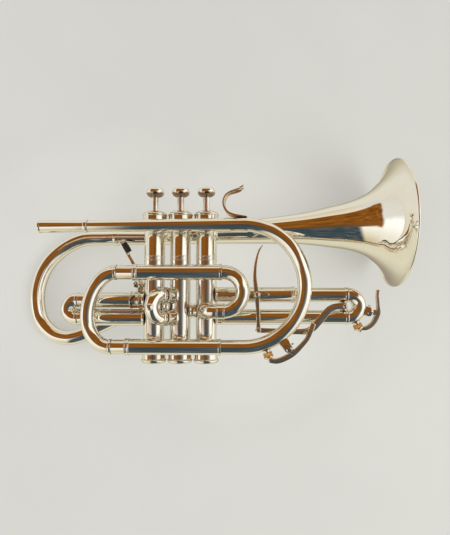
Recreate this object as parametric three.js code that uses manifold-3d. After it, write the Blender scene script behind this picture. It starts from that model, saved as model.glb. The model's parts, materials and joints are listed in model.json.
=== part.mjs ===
// A B-flat cornet with a shepherd's crook, three piston valves, a main tuning slide, a slide on
// each valve, thumb and finger triggers on the first and third slides, and two water keys.
//
// Frame: millimetres. The origin is the centre of the flat underside of the middle valve's
// bottom cap. +X points to the bell, +Z to the finger buttons, and -Y to the player's right.
// Leadpipe, loop and tuning slide lie in a plane in front of the valves (-Y), the bell behind
// them (+Y), and the first and third slides in the plane of the valves.
import * as THREE from 'three';
import { mergeVertices } from 'three/addons/utils/BufferGeometryUtils.js';
import Module from 'manifold-3d';

const wasm = await Module();
wasm.setup();

// ---- driving dimensions -------------------------------------------------------------------

const FACETS = 12; // sides of every round tube
const BELL_FACETS = 24;
const GAP = 0.3; // clearance where one piece is fitted round or against another

const VALVE_PITCH = 23.75;
const VALVES = [1, 2, 3];
const valveX = (valve) => (valve - 2) * VALVE_PITCH;

const BORE_R = 5.6; // inside of the slides
const LEG_R = 6.2; // outside of an inner slide leg
const SLEEVE_BORE_R = LEG_R + GAP;
const SLEEVE_R = 6.85; // outside of an outer slide tube
const FERRULE_R = 7.4;

const FRONT_Y = -18; // plane of leadpipe, loop and tuning slide
const BELL_Y = 19; // plane of bell and crook

const CASING_R = 9.25;
const CASING_BORE_R = 8.6;
const CASING_BOTTOM_Z = 3.6;
const CASING_TOP_Z = 131;
const CASING_RING_Z = 94.8;
const CASING_THREAD_R = 8.95; // reduced ends, inside the caps
const CASING_BODY = { from: 8.8, to: 128.6 };
const PORT_R = 5;

const PISTON_R = 8.2;
const PISTON_BOTTOM_Z = 31;
const PISTON_TOP_Z = 118;
const PASSAGES_Z = [43.5, 56, 70]; // cross bores of a piston
const STEM_R = 2.8;
const BUTTON_Z = 151.5; // underside of a finger button at rest
const BUTTON_R = 8.1;

const LEADPIPE_START = new THREE.Vector3(-79.8, FRONT_Y, 122.2);
const LOOP = { x: 57.3, z: 69.6, r: 53.4 };
const LOWER_LEG_Z = LOOP.z - LOOP.r;
const UPPER_LEG_Z = 81.1;
const LOWER_SLEEVE = { from: 37.8, to: -45.6 };
const UPPER_SLEEVE = { from: 38.8, to: -39.4 };
const TUNING_BOW = { lowerX: -57.4, upperX: -53.6, leftX: -79.4, middleZ: 43 };
const ENTRY_BOW_R = 17.1;
const ENTRY_Z = UPPER_LEG_Z - 2 * ENTRY_BOW_R;

const FIRST = { upperZ: 56.7, lowerZ: 40.3, sleeveEndX: -84, bowX: -95.3 };
const SECOND = { upperZ: 60.9, lowerZ: 41.2, turn: 40, sleeveEnd: 19, bow: 23.6 };
const THIRD = { upperZ: 61.5, lowerZ: 41.4, sleeveEndX: 103.9, bowX: 151.5 };

const BELL_WALL = 0.7;
const BELL_TAIL_X = -36;
const BELL_RIM_X = 203.4;
const BELL_TAIL_Z = 116;
const BELL_RISE = 0.06; // climb of the bell's centre line per millimetre of length
const BELL_TURN = 1.5; // degrees the bell swings outwards about its tail
const BELL_OUTLINE = [ // distance along X, outside radius
  [BELL_TAIL_X, 6.9],
  [20, 8.8],
  [70, 11.6],
  [114.7, 15],
  [140, 19.3],
  [154.5, 22],
  [168.5, 26.2],
  [179, 31.7],
  [186, 37.5],
  [192, 43.2],
  [197.3, 50],
  [200.6, 55.8],
  [202.2, 60.4],
];
const CROOK_R = 6.6;
const CROOK = [ // centre line from the bell's tail round to the first valve
  [BELL_TAIL_X - GAP, BELL_Y, 116],
  [-74, BELL_Y, 116],
  [-97, BELL_Y, 114.6],
  [-118, BELL_Y, 104],
  [-133.5, BELL_Y, 86.5],
  [-140.3, BELL_Y, 63],
  [-136.3, BELL_Y, 37.5],
  [-124.5, BELL_Y, 24.4],
  [-110.8, BELL_Y, 20.4],
  [-97.3, BELL_Y, 22.8],
  [-80.8, BELL_Y, 31],
  [-65, BELL_Y, 38],
  [-50, BELL_Y, 41.8],
  [-40, 18.4, 43.2],
  [-31, 15.6, 43.5],
  [-26, 11.2, 43.5],
  [-24.6, 6.6, 43.5],
];

// Pivots, in the XZ plane
const THIRD_PIVOT = { x: 69.5, z: 61.6 };
const FIRST_PIVOT = { x: -37.8, z: 70.6 };
const KEY_1 = { saddle: -54.5, nipple: -70.4, centre: LOOP, bend: LOOP.r, y: FRONT_Y, pivotOut: 13.6 };
const thirdMiddleZ = (THIRD.upperZ + THIRD.lowerZ) / 2;
const thirdBowR = (THIRD.upperZ - THIRD.lowerZ) / 2;
const firstMiddleZ = (FIRST.upperZ + FIRST.lowerZ) / 2;
const firstBowR = (FIRST.upperZ - FIRST.lowerZ) / 2;
const KEY_2 = {
  saddle: -16, nipple: -64.4, centre: { x: THIRD.bowX, z: thirdMiddleZ }, bend: thirdBowR, y: 0,
  pivotOut: 9.6,
};

// ---- materials ----------------------------------------------------------------------------

const metal = (color, roughness) => new THREE.MeshStandardMaterial({ color, roughness, metalness: 1 });
const soft = (color, roughness) => new THREE.MeshStandardMaterial({ color, roughness, metalness: 0 });
const SILVER = metal(0xe6e2d6, 0.12);
const MONEL = metal(0xb9b7b0, 0.3);
const STEEL = metal(0x8f9092, 0.4);
const RUBBER = soft(0x16161a, 0.7);
const CORK = soft(0xb58a5a, 0.9);

// ---- solid helpers ------------------------------------------------------------------------

const UP = new THREE.Vector3(0, 1, 0);
const vec = (x, y, z) => new THREE.Vector3(x, y, z);
const rad = THREE.MathUtils.degToRad;

// A closed three.js geometry as a manifold solid.
function solidOf(geometry) {
  const bare = geometry.clone();
  bare.deleteAttribute('normal');
  bare.deleteAttribute('uv');
  const merged = mergeVertices(bare, 1e-4);
  const made = new wasm.Manifold(new wasm.Mesh({
    numProp: 3,
    vertProperties: new Float32Array(merged.attributes.position.array),
    triVerts: new Uint32Array(merged.index.array),
  }));
  return made;
}

// A manifold solid as a three.js geometry.
function geometryOf(solid) {
  const mesh = solid.getMesh();
  const geometry = new THREE.BufferGeometry();
  geometry.setAttribute('position', new THREE.BufferAttribute(mesh.vertProperties, 3));
  geometry.setIndex(new THREE.BufferAttribute(mesh.triVerts, 1));
  return geometry;
}

function joined(...geometries) {
  return geometryOf(geometries.map(solidOf).reduce((all, next) => all.add(next)));
}

function cut(geometry, ...cutters) {
  return geometryOf(cutters.map(solidOf).reduce((rest, next) => rest.subtract(next), solidOf(geometry)));
}

// A turned piece: profile is [radius, height] points, anticlockwise, about the local Y axis.
function turned(profile, facets = FACETS) {
  const points = profile.map(([r, y]) => new THREE.Vector2(r, y));
  if (profile[0][0] > 0) points.push(points[0].clone());
  return new THREE.LatheGeometry(points, facets);
}

// Moves a turned piece so that its local Y axis runs from a point along a direction.
function placed(geometry, from, direction) {
  const turn = new THREE.Quaternion().setFromUnitVectors(UP, direction.clone().normalize());
  return geometry.applyQuaternion(turn).translate(from.x, from.y, from.z);
}

function rod(from, to, radius, facets = FACETS) {
  const length = to.distanceTo(from);
  return placed(
    turned([[0, 0], [radius, 0], [radius, length], [0, length]], facets), from, to.clone().sub(from));
}

function pipe(from, to, outer, inner, facets = FACETS) {
  const length = to.distanceTo(from);
  return placed(
    turned([[inner, 0], [outer, 0], [outer, length], [inner, length]], facets), from, to.clone().sub(from));
}

// An outer slide tube with a raised ferrule at its far end.
function sleeve(from, to, ferrule = 4) {
  const length = to.distanceTo(from);
  const profile = [
    [SLEEVE_BORE_R, 0], [SLEEVE_R, 0], [SLEEVE_R, length - ferrule], [FERRULE_R, length - ferrule],
    [FERRULE_R, length], [SLEEVE_BORE_R, length],
  ];
  return placed(turned(profile), from, to.clone().sub(from));
}

// A curve that passes through given stations, so that every bend is cut where it should be.
class Route extends THREE.Curve {
  constructor(stations) {
    super();
    this.stations = stations;
  }

  getPointAt(u) {
    return this.stations[Math.round(u * (this.stations.length - 1))].clone();
  }

  getTangentAt(u) {
    const i = Math.round(u * (this.stations.length - 1));
    const before = this.stations[Math.max(i - 1, 0)];
    const after = this.stations[Math.min(i + 1, this.stations.length - 1)];
    return after.clone().sub(before).normalize();
  }
}

function ringShape(outer, inner) {
  const corners = (r) => Array.from({ length: FACETS }, (_, i) => new THREE.Vector2(
    r * Math.cos((2 * Math.PI * i) / FACETS), r * Math.sin((2 * Math.PI * i) / FACETS)));
  const shape = new THREE.Shape(corners(outer));
  shape.holes.push(new THREE.Path(corners(inner)));
  return shape;
}

function bentTube(stations, outer = LEG_R, inner = BORE_R) {
  return new THREE.ExtrudeGeometry(ringShape(outer, inner), {
    steps: stations.length - 1, extrudePath: new Route(stations), bevelEnabled: false,
  });
}

// Stations on an arc in a plane of constant Y; angles in degrees from +X towards +Z.
function arcXZ(centre, radius, fromAngle, toAngle, steps, y) {
  return Array.from({ length: steps + 1 }, (_, i) => {
    const a = rad(fromAngle + ((toAngle - fromAngle) * i) / steps);
    return vec(centre.x + radius * Math.cos(a), y, centre.z + radius * Math.sin(a));
  });
}

// A flat bar of changing width that follows points in the XZ plane, from y to y + thickness.
function bar(points, halfWidths, y, thickness) {
  const sides = points.map(([x, z], i) => {
    const [ax, az] = points[Math.max(i - 1, 0)];
    const [bx, bz] = points[Math.min(i + 1, points.length - 1)];
    const across = new THREE.Vector2(-(bz - az), bx - ax).normalize().multiplyScalar(halfWidths[i]);
    return [new THREE.Vector2(x, z).add(across), new THREE.Vector2(x, z).sub(across)];
  });
  const outline = [...sides.map(([left]) => left), ...sides.map(([, right]) => right).reverse()];
  const geometry = new THREE.ExtrudeGeometry(
    new THREE.Shape(outline), { depth: thickness, bevelEnabled: false });
  return geometry.rotateX(Math.PI / 2).translate(0, y + thickness, 0);
}

// A pin, boss or hole along Y at a pivot.
const pinY = (pivot, radius, y0, y1, facets = FACETS) =>
  rod(vec(pivot.x, y0, pivot.z), vec(pivot.x, y1, pivot.z), radius, facets);

// The space that a valve casing needs, for trimming the tubes that end on it.
const casingSpace = (valve) =>
  rod(vec(valveX(valve), 0, 0), vec(valveX(valve), 0, CASING_TOP_Z), CASING_R + GAP, 24);

const cornet = new THREE.Group();
function add(name, geometry, material = SILVER) {
  const mesh = new THREE.Mesh(geometry, material);
  mesh.name = name;
  cornet.add(mesh);
}

// ---- valves -------------------------------------------------------------------------------

const KNUCKLE_Z = (SECOND.upperZ + SECOND.lowerZ) / 2; // between the first and second valves

// Direction and height of every tube that opens into a valve; angles from +X towards +Y.
const PORTS = {
  1: [[180, FIRST.upperZ], [180, FIRST.lowerZ], [0, KNUCKLE_Z], [110, 43.5]],
  2: [[180, KNUCKLE_Z], [0, ENTRY_Z], [270 - SECOND.turn, SECOND.upperZ],
    [270 - SECOND.turn, SECOND.lowerZ]],
  3: [[180, ENTRY_Z], [0, THIRD.upperZ], [0, THIRD.lowerZ], [270, ENTRY_Z]],
};

function valveCasing(valve) {
  const axis = vec(valveX(valve), 0, 0);
  const shell = placed(turned([
    [CASING_BORE_R, CASING_BOTTOM_Z], [CASING_THREAD_R, CASING_BOTTOM_Z],
    [CASING_THREAD_R, CASING_BODY.from], [CASING_R, CASING_BODY.from],
    [CASING_R, CASING_RING_Z - 1.6], [CASING_R + 0.35, CASING_RING_Z], [CASING_R, CASING_RING_Z + 1.6],
    [CASING_R, CASING_BODY.to], [CASING_THREAD_R, CASING_BODY.to],
    [CASING_THREAD_R, CASING_TOP_Z], [CASING_BORE_R, CASING_TOP_Z],
  ]), axis, vec(0, 0, 1));
  const holes = PORTS[valve].map(([angle, z]) => {
    const out = vec(Math.cos(rad(angle)), Math.sin(rad(angle)), 0);
    const mouth = axis.clone().setZ(z);
    return rod(mouth.clone().addScaledVector(out, 4), mouth.clone().addScaledVector(out, 12), PORT_R, 8);
  });
  return cut(shell, ...holes);
}

function piston(valve) {
  const body = placed(turned([
    [0, PISTON_BOTTOM_Z], [PISTON_R, PISTON_BOTTOM_Z], [PISTON_R, PISTON_TOP_Z - 2],
    [PISTON_R - 2, PISTON_TOP_Z], [0, PISTON_TOP_Z],
  ]), vec(valveX(valve), 0, 0), vec(0, 0, 1));
  const reach = vec(PISTON_R + 2, 0, 0);
  const passages = PASSAGES_Z.map((z) => {
    const centre = vec(valveX(valve), 0, z);
    return rod(centre.clone().sub(reach), centre.clone().add(reach), PORT_R, 8);
  });
  return cut(body, ...passages);
}

const TOP_CAP = [
  [9.3, 129.3], [10.9, 129.3], [10.9, 133.6], [11.3, 134.2], [11.3, 135.2], [9.6, 137], [6, 138.2],
  [3.4, 138.5], [3.4, 135], [9.3, 131.6],
];
const BOTTOM_CAP = [
  [0, 0], [10.9, 0], [11.4, 1.2], [11.2, 2.6], [10.3, 3.2], [10.3, 8.4], [9.25, 8.4], [9.25, 3.2], [0, 2.2],
];
const BUTTON = [
  [0, BUTTON_Z], [4.6, BUTTON_Z], [6.9, BUTTON_Z + 1.6], [BUTTON_R, BUTTON_Z + 4.2],
  [7.3, BUTTON_Z + 6.6], [4.6, BUTTON_Z + 8.5], [0, BUTTON_Z + 9.2],
];
const onValve = (profile, valve, facets = FACETS) =>
  placed(turned(profile, facets), vec(valveX(valve), 0, 0), vec(0, 0, 1));

// The return spring under a piston: a helix of round wire.
function valveSpring(valve) {
  const turns = 5;
  const steps = 40;
  const bottom = 3.9;
  const height = 26;
  const coilR = 6.4;
  const wireR = 0.6;
  const coil = Array.from({ length: steps + 1 }, (_, i) => {
    const a = (2 * Math.PI * turns * i) / steps;
    return vec(valveX(valve) + coilR * Math.cos(a), coilR * Math.sin(a), bottom + (height * i) / steps);
  });
  const wire = new THREE.Shape([[wireR, 0], [0, wireR], [-wireR, 0], [0, -wireR]].map(([x, y]) =>
    new THREE.Vector2(x, y)));
  return new THREE.ExtrudeGeometry(wire, {
    steps, extrudePath: new Route(coil), bevelEnabled: false,
  });
}

for (const valve of VALVES) {
  add(`valve_casing_${valve}`, valveCasing(valve));
  add(`bottom_cap_${valve}`, onValve(BOTTOM_CAP, valve));
  add(`top_cap_${valve}`, onValve(TOP_CAP, valve));
  add(`piston_${valve}`, piston(valve), MONEL);
  add(`valve_stem_${valve}`, onValve(
    [[0, PISTON_TOP_Z + GAP], [STEM_R, PISTON_TOP_Z + GAP], [STEM_R, BUTTON_Z - GAP], [0, BUTTON_Z - GAP]],
    valve, 8));
  add(`finger_button_${valve}`, onValve(BUTTON, valve));
  add(`valve_spring_${valve}`, valveSpring(valve), STEEL);
}

function knuckle(left, right, z) {
  const inset = CASING_R / 2; // the tube is made too long, then trimmed by the casings
  const tube = pipe(vec(valveX(left) + inset, 0, z), vec(valveX(right) - inset, 0, z), LEG_R, BORE_R);
  return cut(tube, casingSpace(left), casingSpace(right));
}
add('knuckle_2_3', knuckle(2, 3, ENTRY_Z));

// ---- leadpipe and tuning slide ------------------------------------------------------------

const loopTop = vec(LOOP.x, FRONT_Y, LOOP.z + LOOP.r);
const leadDirection = loopTop.clone().sub(LEADPIPE_START).normalize();
const RECEIVER_LENGTH = 44;
const receiverEnd = LEADPIPE_START.clone().addScaledVector(leadDirection, -RECEIVER_LENGTH - GAP);

add('mouthpiece_receiver', placed(turned([
  [4.7, 0], [5.7, 0], [5.7, 1.6], [5.3, 2.2], [5, RECEIVER_LENGTH - 3.4], [5.7, RECEIVER_LENGTH - 3],
  [5.7, RECEIVER_LENGTH], [4.1, RECEIVER_LENGTH],
]), receiverEnd, leadDirection));

// A short tube soldered on the outside of a bend, where a water key closes it.
function nipple(key, tubeR) {
  const out = vec(Math.cos(rad(key.nipple)), 0, Math.sin(rad(key.nipple)));
  const centre = vec(key.centre.x, key.y, key.centre.z);
  const at = (distance) => centre.clone().addScaledVector(out, key.bend + distance);
  return pipe(at(tubeR - 0.4), at(tubeR + 2.6), 2.9, 1.5, 8);
}

function leadpipe() {
  const length = loopTop.distanceTo(LEADPIPE_START);
  const straight = placed(turned([[4, 0], [4.9, 0], [6, length + 0.2], [5.3, length + 0.2]]),
    LEADPIPE_START, leadDirection);
  const loop = bentTube([
    ...arcXZ(LOOP, LOOP.r, 90, -90, 12, FRONT_Y),
    vec(LOWER_SLEEVE.from + GAP, FRONT_Y, LOWER_LEG_Z),
  ]);
  return joined(straight, loop, nipple(KEY_1, LEG_R));
}
add('leadpipe', leadpipe());

const frontLine = (x, z) => vec(x, FRONT_Y, z);
add('tuning_sleeve_lower', sleeve(
  frontLine(LOWER_SLEEVE.from, LOWER_LEG_Z), frontLine(LOWER_SLEEVE.to, LOWER_LEG_Z)));
add('tuning_sleeve_upper', sleeve(
  frontLine(UPPER_SLEEVE.from, UPPER_LEG_Z), frontLine(UPPER_SLEEVE.to, UPPER_LEG_Z)));

const INSERTED = 66; // length of a tuning leg inside its sleeve, short of the tube beyond when pushed home
add('tuning_leg_lower', pipe(frontLine(LOWER_SLEEVE.to + INSERTED, LOWER_LEG_Z),
  frontLine(TUNING_BOW.lowerX + GAP, LOWER_LEG_Z), LEG_R, BORE_R));
add('tuning_leg_upper', pipe(frontLine(UPPER_SLEEVE.to + INSERTED, UPPER_LEG_Z),
  frontLine(TUNING_BOW.upperX + GAP, UPPER_LEG_Z), LEG_R, BORE_R));

// The flattened bow: two quarter curves that meet on its left-hand side.
function tuningBow() {
  const { lowerX, upperX, leftX, middleZ } = TUNING_BOW;
  const lower = new THREE.CubicBezierCurve3(
    frontLine(lowerX - 2, LOWER_LEG_Z), frontLine(lowerX - 13, LOWER_LEG_Z),
    frontLine(leftX, middleZ - 15), frontLine(leftX, middleZ));
  const upper = new THREE.CubicBezierCurve3(
    frontLine(leftX, middleZ), frontLine(leftX, middleZ + 21),
    frontLine(upperX - 12, UPPER_LEG_Z), frontLine(upperX - 2, UPPER_LEG_Z));
  const bow = bentTube([
    frontLine(lowerX, LOWER_LEG_Z), ...lower.getPoints(5), ...upper.getPoints(6).slice(1),
    frontLine(upperX, UPPER_LEG_Z),
  ]);
  const collars = [[lowerX, LOWER_LEG_Z], [upperX, UPPER_LEG_Z]].map(([x, z]) =>
    pipe(frontLine(x, z), frontLine(x - 2.4, z), FERRULE_R - 0.5, BORE_R + 0.1));
  return joined(bow, ...collars);
}
add('tuning_bow', tuningBow());

// From the upper leg round into the front of the third valve.
function valveEntryBow() {
  const centre = { x: UPPER_SLEEVE.from + 1, z: UPPER_LEG_Z - ENTRY_BOW_R };
  const elbowR = -FRONT_Y - CASING_R;
  const elbowX = valveX(3) + elbowR;
  const elbow = Array.from({ length: 5 }, (_, i) => {
    const a = rad((90 * i) / 4);
    return vec(elbowX - elbowR * Math.sin(a), FRONT_Y + elbowR * (1 - Math.cos(a)), ENTRY_Z);
  });
  const tube = bentTube([
    vec(UPPER_SLEEVE.from + GAP, FRONT_Y, UPPER_LEG_Z),
    ...arcXZ(centre, ENTRY_BOW_R, 90, -90, 8, FRONT_Y),
    ...elbow,
    vec(valveX(3), -CASING_R + 2.2, ENTRY_Z),
  ]);
  return cut(tube, casingSpace(3));
}
add('valve_entry_bow', valveEntryBow());

// Open hook of flat strip for the little finger, on top of the leadpipe.
add('finger_hook', bar(
  [[59, 130.3], [50, 130.3], [44.2, 131.8], [40.9, 135.6], [40, 142.2], [42, 148], [46.6, 151.3],
    [51.5, 153.4], [57, 156.2]],
  [0.7, 0.9, 1.1, 1.1, 1, 1, 1.1, 1.1, 0.7], FRONT_Y - 3.5, 7));

// ---- bell and crook -----------------------------------------------------------------------

const bellY = (x) => BELL_Y + Math.tan(rad(BELL_TURN)) * (x - BELL_TAIL_X);
const bellZ = (x) => BELL_TAIL_Z + BELL_RISE * (x - BELL_TAIL_X);

function bell() {
  const outside = BELL_OUTLINE.map(([x, r]) => new THREE.Vector2(r, x));
  const inside = outside.map((point, i) => {
    const before = outside[Math.max(i - 1, 0)];
    const after = outside[Math.min(i + 1, outside.length - 1)];
    const along = after.clone().sub(before).normalize();
    return point.clone().add(new THREE.Vector2(-along.y, along.x).multiplyScalar(BELL_WALL));
  });
  inside[0].y = BELL_TAIL_X;
  const rimR = outside[outside.length - 1].x;
  const bead = [[rimR + 0.7, BELL_RIM_X - 0.9], [rimR + 0.6, BELL_RIM_X], [rimR - 0.8, BELL_RIM_X]];
  const profile = [...outside.map((p) => [p.x, p.y]), ...bead,
    ...inside.slice(0, -1).reverse().map((p) => [p.x, p.y])];
  const geometry = turned(profile, BELL_FACETS).rotateZ(-Math.PI / 2);
  const places = geometry.attributes.position;
  for (let i = 0; i < places.count; i += 1) {
    places.setZ(i, places.getZ(i) + bellZ(places.getX(i)));
  }
  return geometry.translate(-BELL_TAIL_X, 0, 0).rotateZ(rad(BELL_TURN)).translate(BELL_TAIL_X, BELL_Y, 0);
}
add('bell', bell());

function bellBow() {
  const line = new THREE.CatmullRomCurve3(CROOK.map(([x, y, z]) => vec(x, y, z)), false, 'centripetal');
  const stations = line.getPoints(CROOK.length - 1);
  return cut(bentTube(stations, CROOK_R, CROOK_R - 0.6), casingSpace(1));
}
add('bell_bow', bellBow());

// A post between leadpipe and bell at a place along X, with a foot at each end.
function leadpipeBrace(x, frontZ, frontR, backR) {
  const footR = 2.8;
  const waistR = 1.4;
  const front = vec(x, FRONT_Y, frontZ);
  const back = vec(x, bellY(x), bellZ(x));
  const along = back.clone().sub(front).normalize();
  const length = back.distanceTo(front) - frontR - backR - 2 * GAP;
  const start = front.clone().addScaledVector(along, frontR + GAP);
  return placed(turned([
    [0, 0], [footR, 0], [footR, 1], [waistR, 2.2], [waistR, length - 2.2], [footR, length - 1],
    [footR, length], [0, length],
  ], 8), start, along);
}
const REAR_BRACE_X = -VALVE_PITCH / 2; // between the first two valves
const FRONT_BRACE_X = 70;
add('leadpipe_brace_rear', leadpipeBrace(REAR_BRACE_X, 122.6, 5.6, 7.8));
add('leadpipe_brace_front', leadpipeBrace(FRONT_BRACE_X, 121.4, LEG_R, 11.6));

// ---- first slide and its thumb trigger ----------------------------------------------------

const middle = (x, z) => vec(x, 0, z);

for (const [side, z] of [['upper', FIRST.upperZ], ['lower', FIRST.lowerZ]]) {
  const tube = sleeve(middle(valveX(1) - 5, z), middle(FIRST.sleeveEndX, z), 3);
  add(`first_sleeve_${side}`, cut(tube, casingSpace(1)));
}

const LUG_Z = firstMiddleZ - 1;
const FIRST_LINK_Y = 7;
const LINK_T = 1.2;
const PIN_R = 1.1; // pins that carry a link
const PIN_HOLE_R = PIN_R + 0.35;

function firstSlide() {
  const legs = [FIRST.upperZ, FIRST.lowerZ].map((z) =>
    pipe(middle(valveX(1) - CASING_R - 3, z), middle(FIRST.bowX - 0.2, z), LEG_R, BORE_R));
  const bow = bentTube(arcXZ({ x: FIRST.bowX, z: firstMiddleZ }, firstBowR, 90, 270, 6, 0));
  const lugX = FIRST.bowX - firstBowR;
  const lug = pinY({ x: lugX, z: LUG_Z }, 2.2, LEG_R - 0.5, FIRST_LINK_Y - GAP, 8);
  const pin = pinY({ x: lugX, z: LUG_Z }, PIN_R, LEG_R - 0.5, FIRST_LINK_Y + LINK_T + 0.9, 8);
  return joined(...legs, bow, lug, pin);
}
add('first_slide', firstSlide());

const FIRST_LEVER_Y = 8.6;
const LEVER_T = 1.6;
const FIRST_ARM = 24;

function firstTriggerBracket() {
  const ring = pipe(middle(-36.2, FIRST.upperZ), middle(-45.4, FIRST.upperZ), 8, SLEEVE_R + 0.2);
  const post = bar([[FIRST_PIVOT.x, 63.8], [FIRST_PIVOT.x, FIRST_PIVOT.z + 1.8]], [2.4, 2], 1.5, 5.2);
  const pin = pinY(FIRST_PIVOT, 1.2, 5, FIRST_LEVER_Y + 2.4, 8);
  return joined(ring, post, pin);
}
add('first_trigger_bracket', firstTriggerBracket());

function firstTriggerLever() {
  const { x, z } = FIRST_PIVOT;
  const arm = bar(
    [[x, z - FIRST_ARM - 1.6], [x, z - FIRST_ARM], [x, z], [x - 7.8, z + 19.7], [x - 12.6, z + 29.6],
      [x - 16.6, z + 38]],
    [1.2, 2, 1.9, 1.4, 1.4, 2], FIRST_LEVER_Y, LEVER_T);
  const boss = pinY(FIRST_PIVOT, 3, FIRST_LEVER_Y, FIRST_LEVER_Y + LEVER_T);
  const hole = pinY(FIRST_PIVOT, 1.6, FIRST_LEVER_Y - 1, FIRST_LEVER_Y + 3, 8);
  return cut(joined(arm, boss), hole);
}
add('first_trigger_lever', firstTriggerLever());
add('first_trigger_pad', bar(
  [[FIRST_PIVOT.x - 12.9, FIRST_PIVOT.z + 32.4], [FIRST_PIVOT.x - 16.6, FIRST_PIVOT.z + 40.2]],
  [2.2, 2.2], FIRST_LEVER_Y - 4.3, 4), RUBBER);

function firstTriggerLink() {
  const lugX = FIRST.bowX - firstBowR;
  const endZ = FIRST_PIVOT.z - FIRST_ARM;
  const strip = bar([[lugX - 2.2, LUG_Z], [lugX, LUG_Z], [lugX + 6, LUG_Z - 0.4], [FIRST_PIVOT.x, endZ],
    [FIRST_PIVOT.x + 1.5, endZ]], [1.6, 2.4, 1.4, 1.4, 1.2], FIRST_LINK_Y, LINK_T);
  return cut(strip, pinY({ x: lugX, z: LUG_Z }, PIN_HOLE_R, 0, 12, 8));
}
add('first_trigger_link', firstTriggerLink());

// ---- second slide -------------------------------------------------------------------------

// It leaves the middle valve forwards and to the left. Distances run from the valve's axis.
const secondOut = vec(-Math.sin(rad(SECOND.turn)), -Math.cos(rad(SECOND.turn)), 0);
const secondAt = (distance, z) => secondOut.clone().multiplyScalar(distance).setZ(z);
const secondMiddleZ = (SECOND.upperZ + SECOND.lowerZ) / 2;
const secondBowR = (SECOND.upperZ - SECOND.lowerZ) / 2;

for (const [side, z] of [['upper', SECOND.upperZ], ['lower', SECOND.lowerZ]]) {
  add(`second_sleeve_${side}`, cut(
    sleeve(secondAt(5, z), secondAt(SECOND.sleeveEnd, z), 2.4), casingSpace(2)));
}

// The first knuckle sits between the two sleeves and is notched to clear them.
add('knuckle_1_2', cut(knuckle(1, 2, KNUCKLE_Z), ...[SECOND.upperZ, SECOND.lowerZ].map((z) =>
  rod(secondAt(0, z), secondAt(SECOND.sleeveEnd, z), SLEEVE_R + GAP))));

function secondSlide() {
  const legs = [SECOND.upperZ, SECOND.lowerZ].map((z) =>
    pipe(secondAt(CASING_R + 2, z), secondAt(SECOND.bow + 0.2, z), LEG_R, BORE_R));
  const bow = bentTube(Array.from({ length: 7 }, (_, i) => {
    const a = rad(90 - 30 * i);
    return secondAt(SECOND.bow + secondBowR * Math.cos(a), secondMiddleZ + secondBowR * Math.sin(a));
  }));
  return joined(...legs, bow);
}
add('second_slide', secondSlide());

// Pull knob on the front of the second slide's bow.
const knobStart = secondAt(SECOND.bow + secondBowR, secondMiddleZ).add(vec(0, -LEG_R - GAP, 0));
add('second_slide_knob', placed(turned(
  [[0, 0], [1.8, 0], [1.5, 1.6], [2.9, 3], [2.9, 4.4], [1.6, 5.2], [0, 5.2]], 8), knobStart, vec(0, -1, 0)));

// ---- third slide and its finger trigger ---------------------------------------------------

for (const [side, z] of [['upper', THIRD.upperZ], ['lower', THIRD.lowerZ]]) {
  const tube = sleeve(middle(valveX(3) + 5, z), middle(THIRD.sleeveEndX, z), 3);
  add(`third_sleeve_${side}`, cut(tube, casingSpace(3)));
}

function thirdSlide() {
  const legs = [THIRD.upperZ, THIRD.lowerZ].map((z) =>
    pipe(middle(valveX(3) + CASING_R + 14, z), middle(THIRD.bowX + 0.2, z), LEG_R, BORE_R));
  const bow = bentTube(arcXZ({ x: THIRD.bowX, z: thirdMiddleZ }, thirdBowR, 90, -90, 6, 0));
  return joined(...legs, bow, nipple(KEY_2, LEG_R));
}
add('third_slide', thirdSlide());

const THIRD_LINK_Y = -8.3;
const POST = { x: 147.3, z: thirdMiddleZ, r: 2.5 };

// The post that braces the two legs and carries the pin of the trigger's link.
function thirdSlidePost() {
  const post = rod(
    middle(POST.x, THIRD.lowerZ + LEG_R + GAP), middle(POST.x, THIRD.upperZ - LEG_R - GAP), POST.r, 8);
  return joined(post, pinY(POST, PIN_R, THIRD_LINK_Y - 0.9, 0.5, 8));
}
add('third_slide_post', thirdSlidePost());

function thirdTriggerBracket() {
  const plate = bar([[60.8, 60.8], [65, 61.2], [74, 61.6], [77, 61.6]], [2.4, 3.2, 3.2, 2], -8.5, 1.3);
  return joined(plate, pinY(THIRD_PIVOT, 1.3, -11.4, -8, 8));
}
add('third_trigger_bracket', thirdTriggerBracket());

const THIRD_LEVER_Y = -10.6;
function thirdTriggerLever() {
  const { x, z } = THIRD_PIVOT;
  const arm = bar(
    [[x + 5.2, z + 43.8], [x + 2.4, z + 39.4], [x + 0.8, z + 34.9], [x - 0.9, z + 26.8], [x - 1.6, z + 15.6],
      [x, z], [x + 0.9, z - 16], [x + 1.3, z - 31], [x + 1.3, z - 34]],
    [0.6, 1, 1.3, 1.5, 1.6, 2, 1.5, 2, 1.4], THIRD_LEVER_Y, 1.8);
  const boss = pinY(THIRD_PIVOT, 3, THIRD_LEVER_Y, THIRD_LEVER_Y + 1.8);
  const hole = pinY(THIRD_PIVOT, 1.7, THIRD_LEVER_Y - 2, THIRD_LEVER_Y + 3, 8);
  return cut(joined(arm, boss), hole);
}
add('third_trigger_lever', thirdTriggerLever());

function thirdTriggerLink() {
  const strip = bar(
    [[68.6, 29.9], [70.8, 29.9], [113, 29.2], [118.8, 32.4], [127.7, 41.9], [133.9, 48.6], [140, 51.4],
      [POST.x, POST.z], [POST.x + 2, POST.z]],
    [1.2, 2.2, 2.3, 2.6, 2.5, 2.5, 2.2, 2.3, 1.6], THIRD_LINK_Y, LINK_T);
  return cut(strip, pinY(POST, PIN_HOLE_R, -12, 0, 8));
}
add('third_trigger_link', thirdTriggerLink());

// ---- water keys ---------------------------------------------------------------------------

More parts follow.
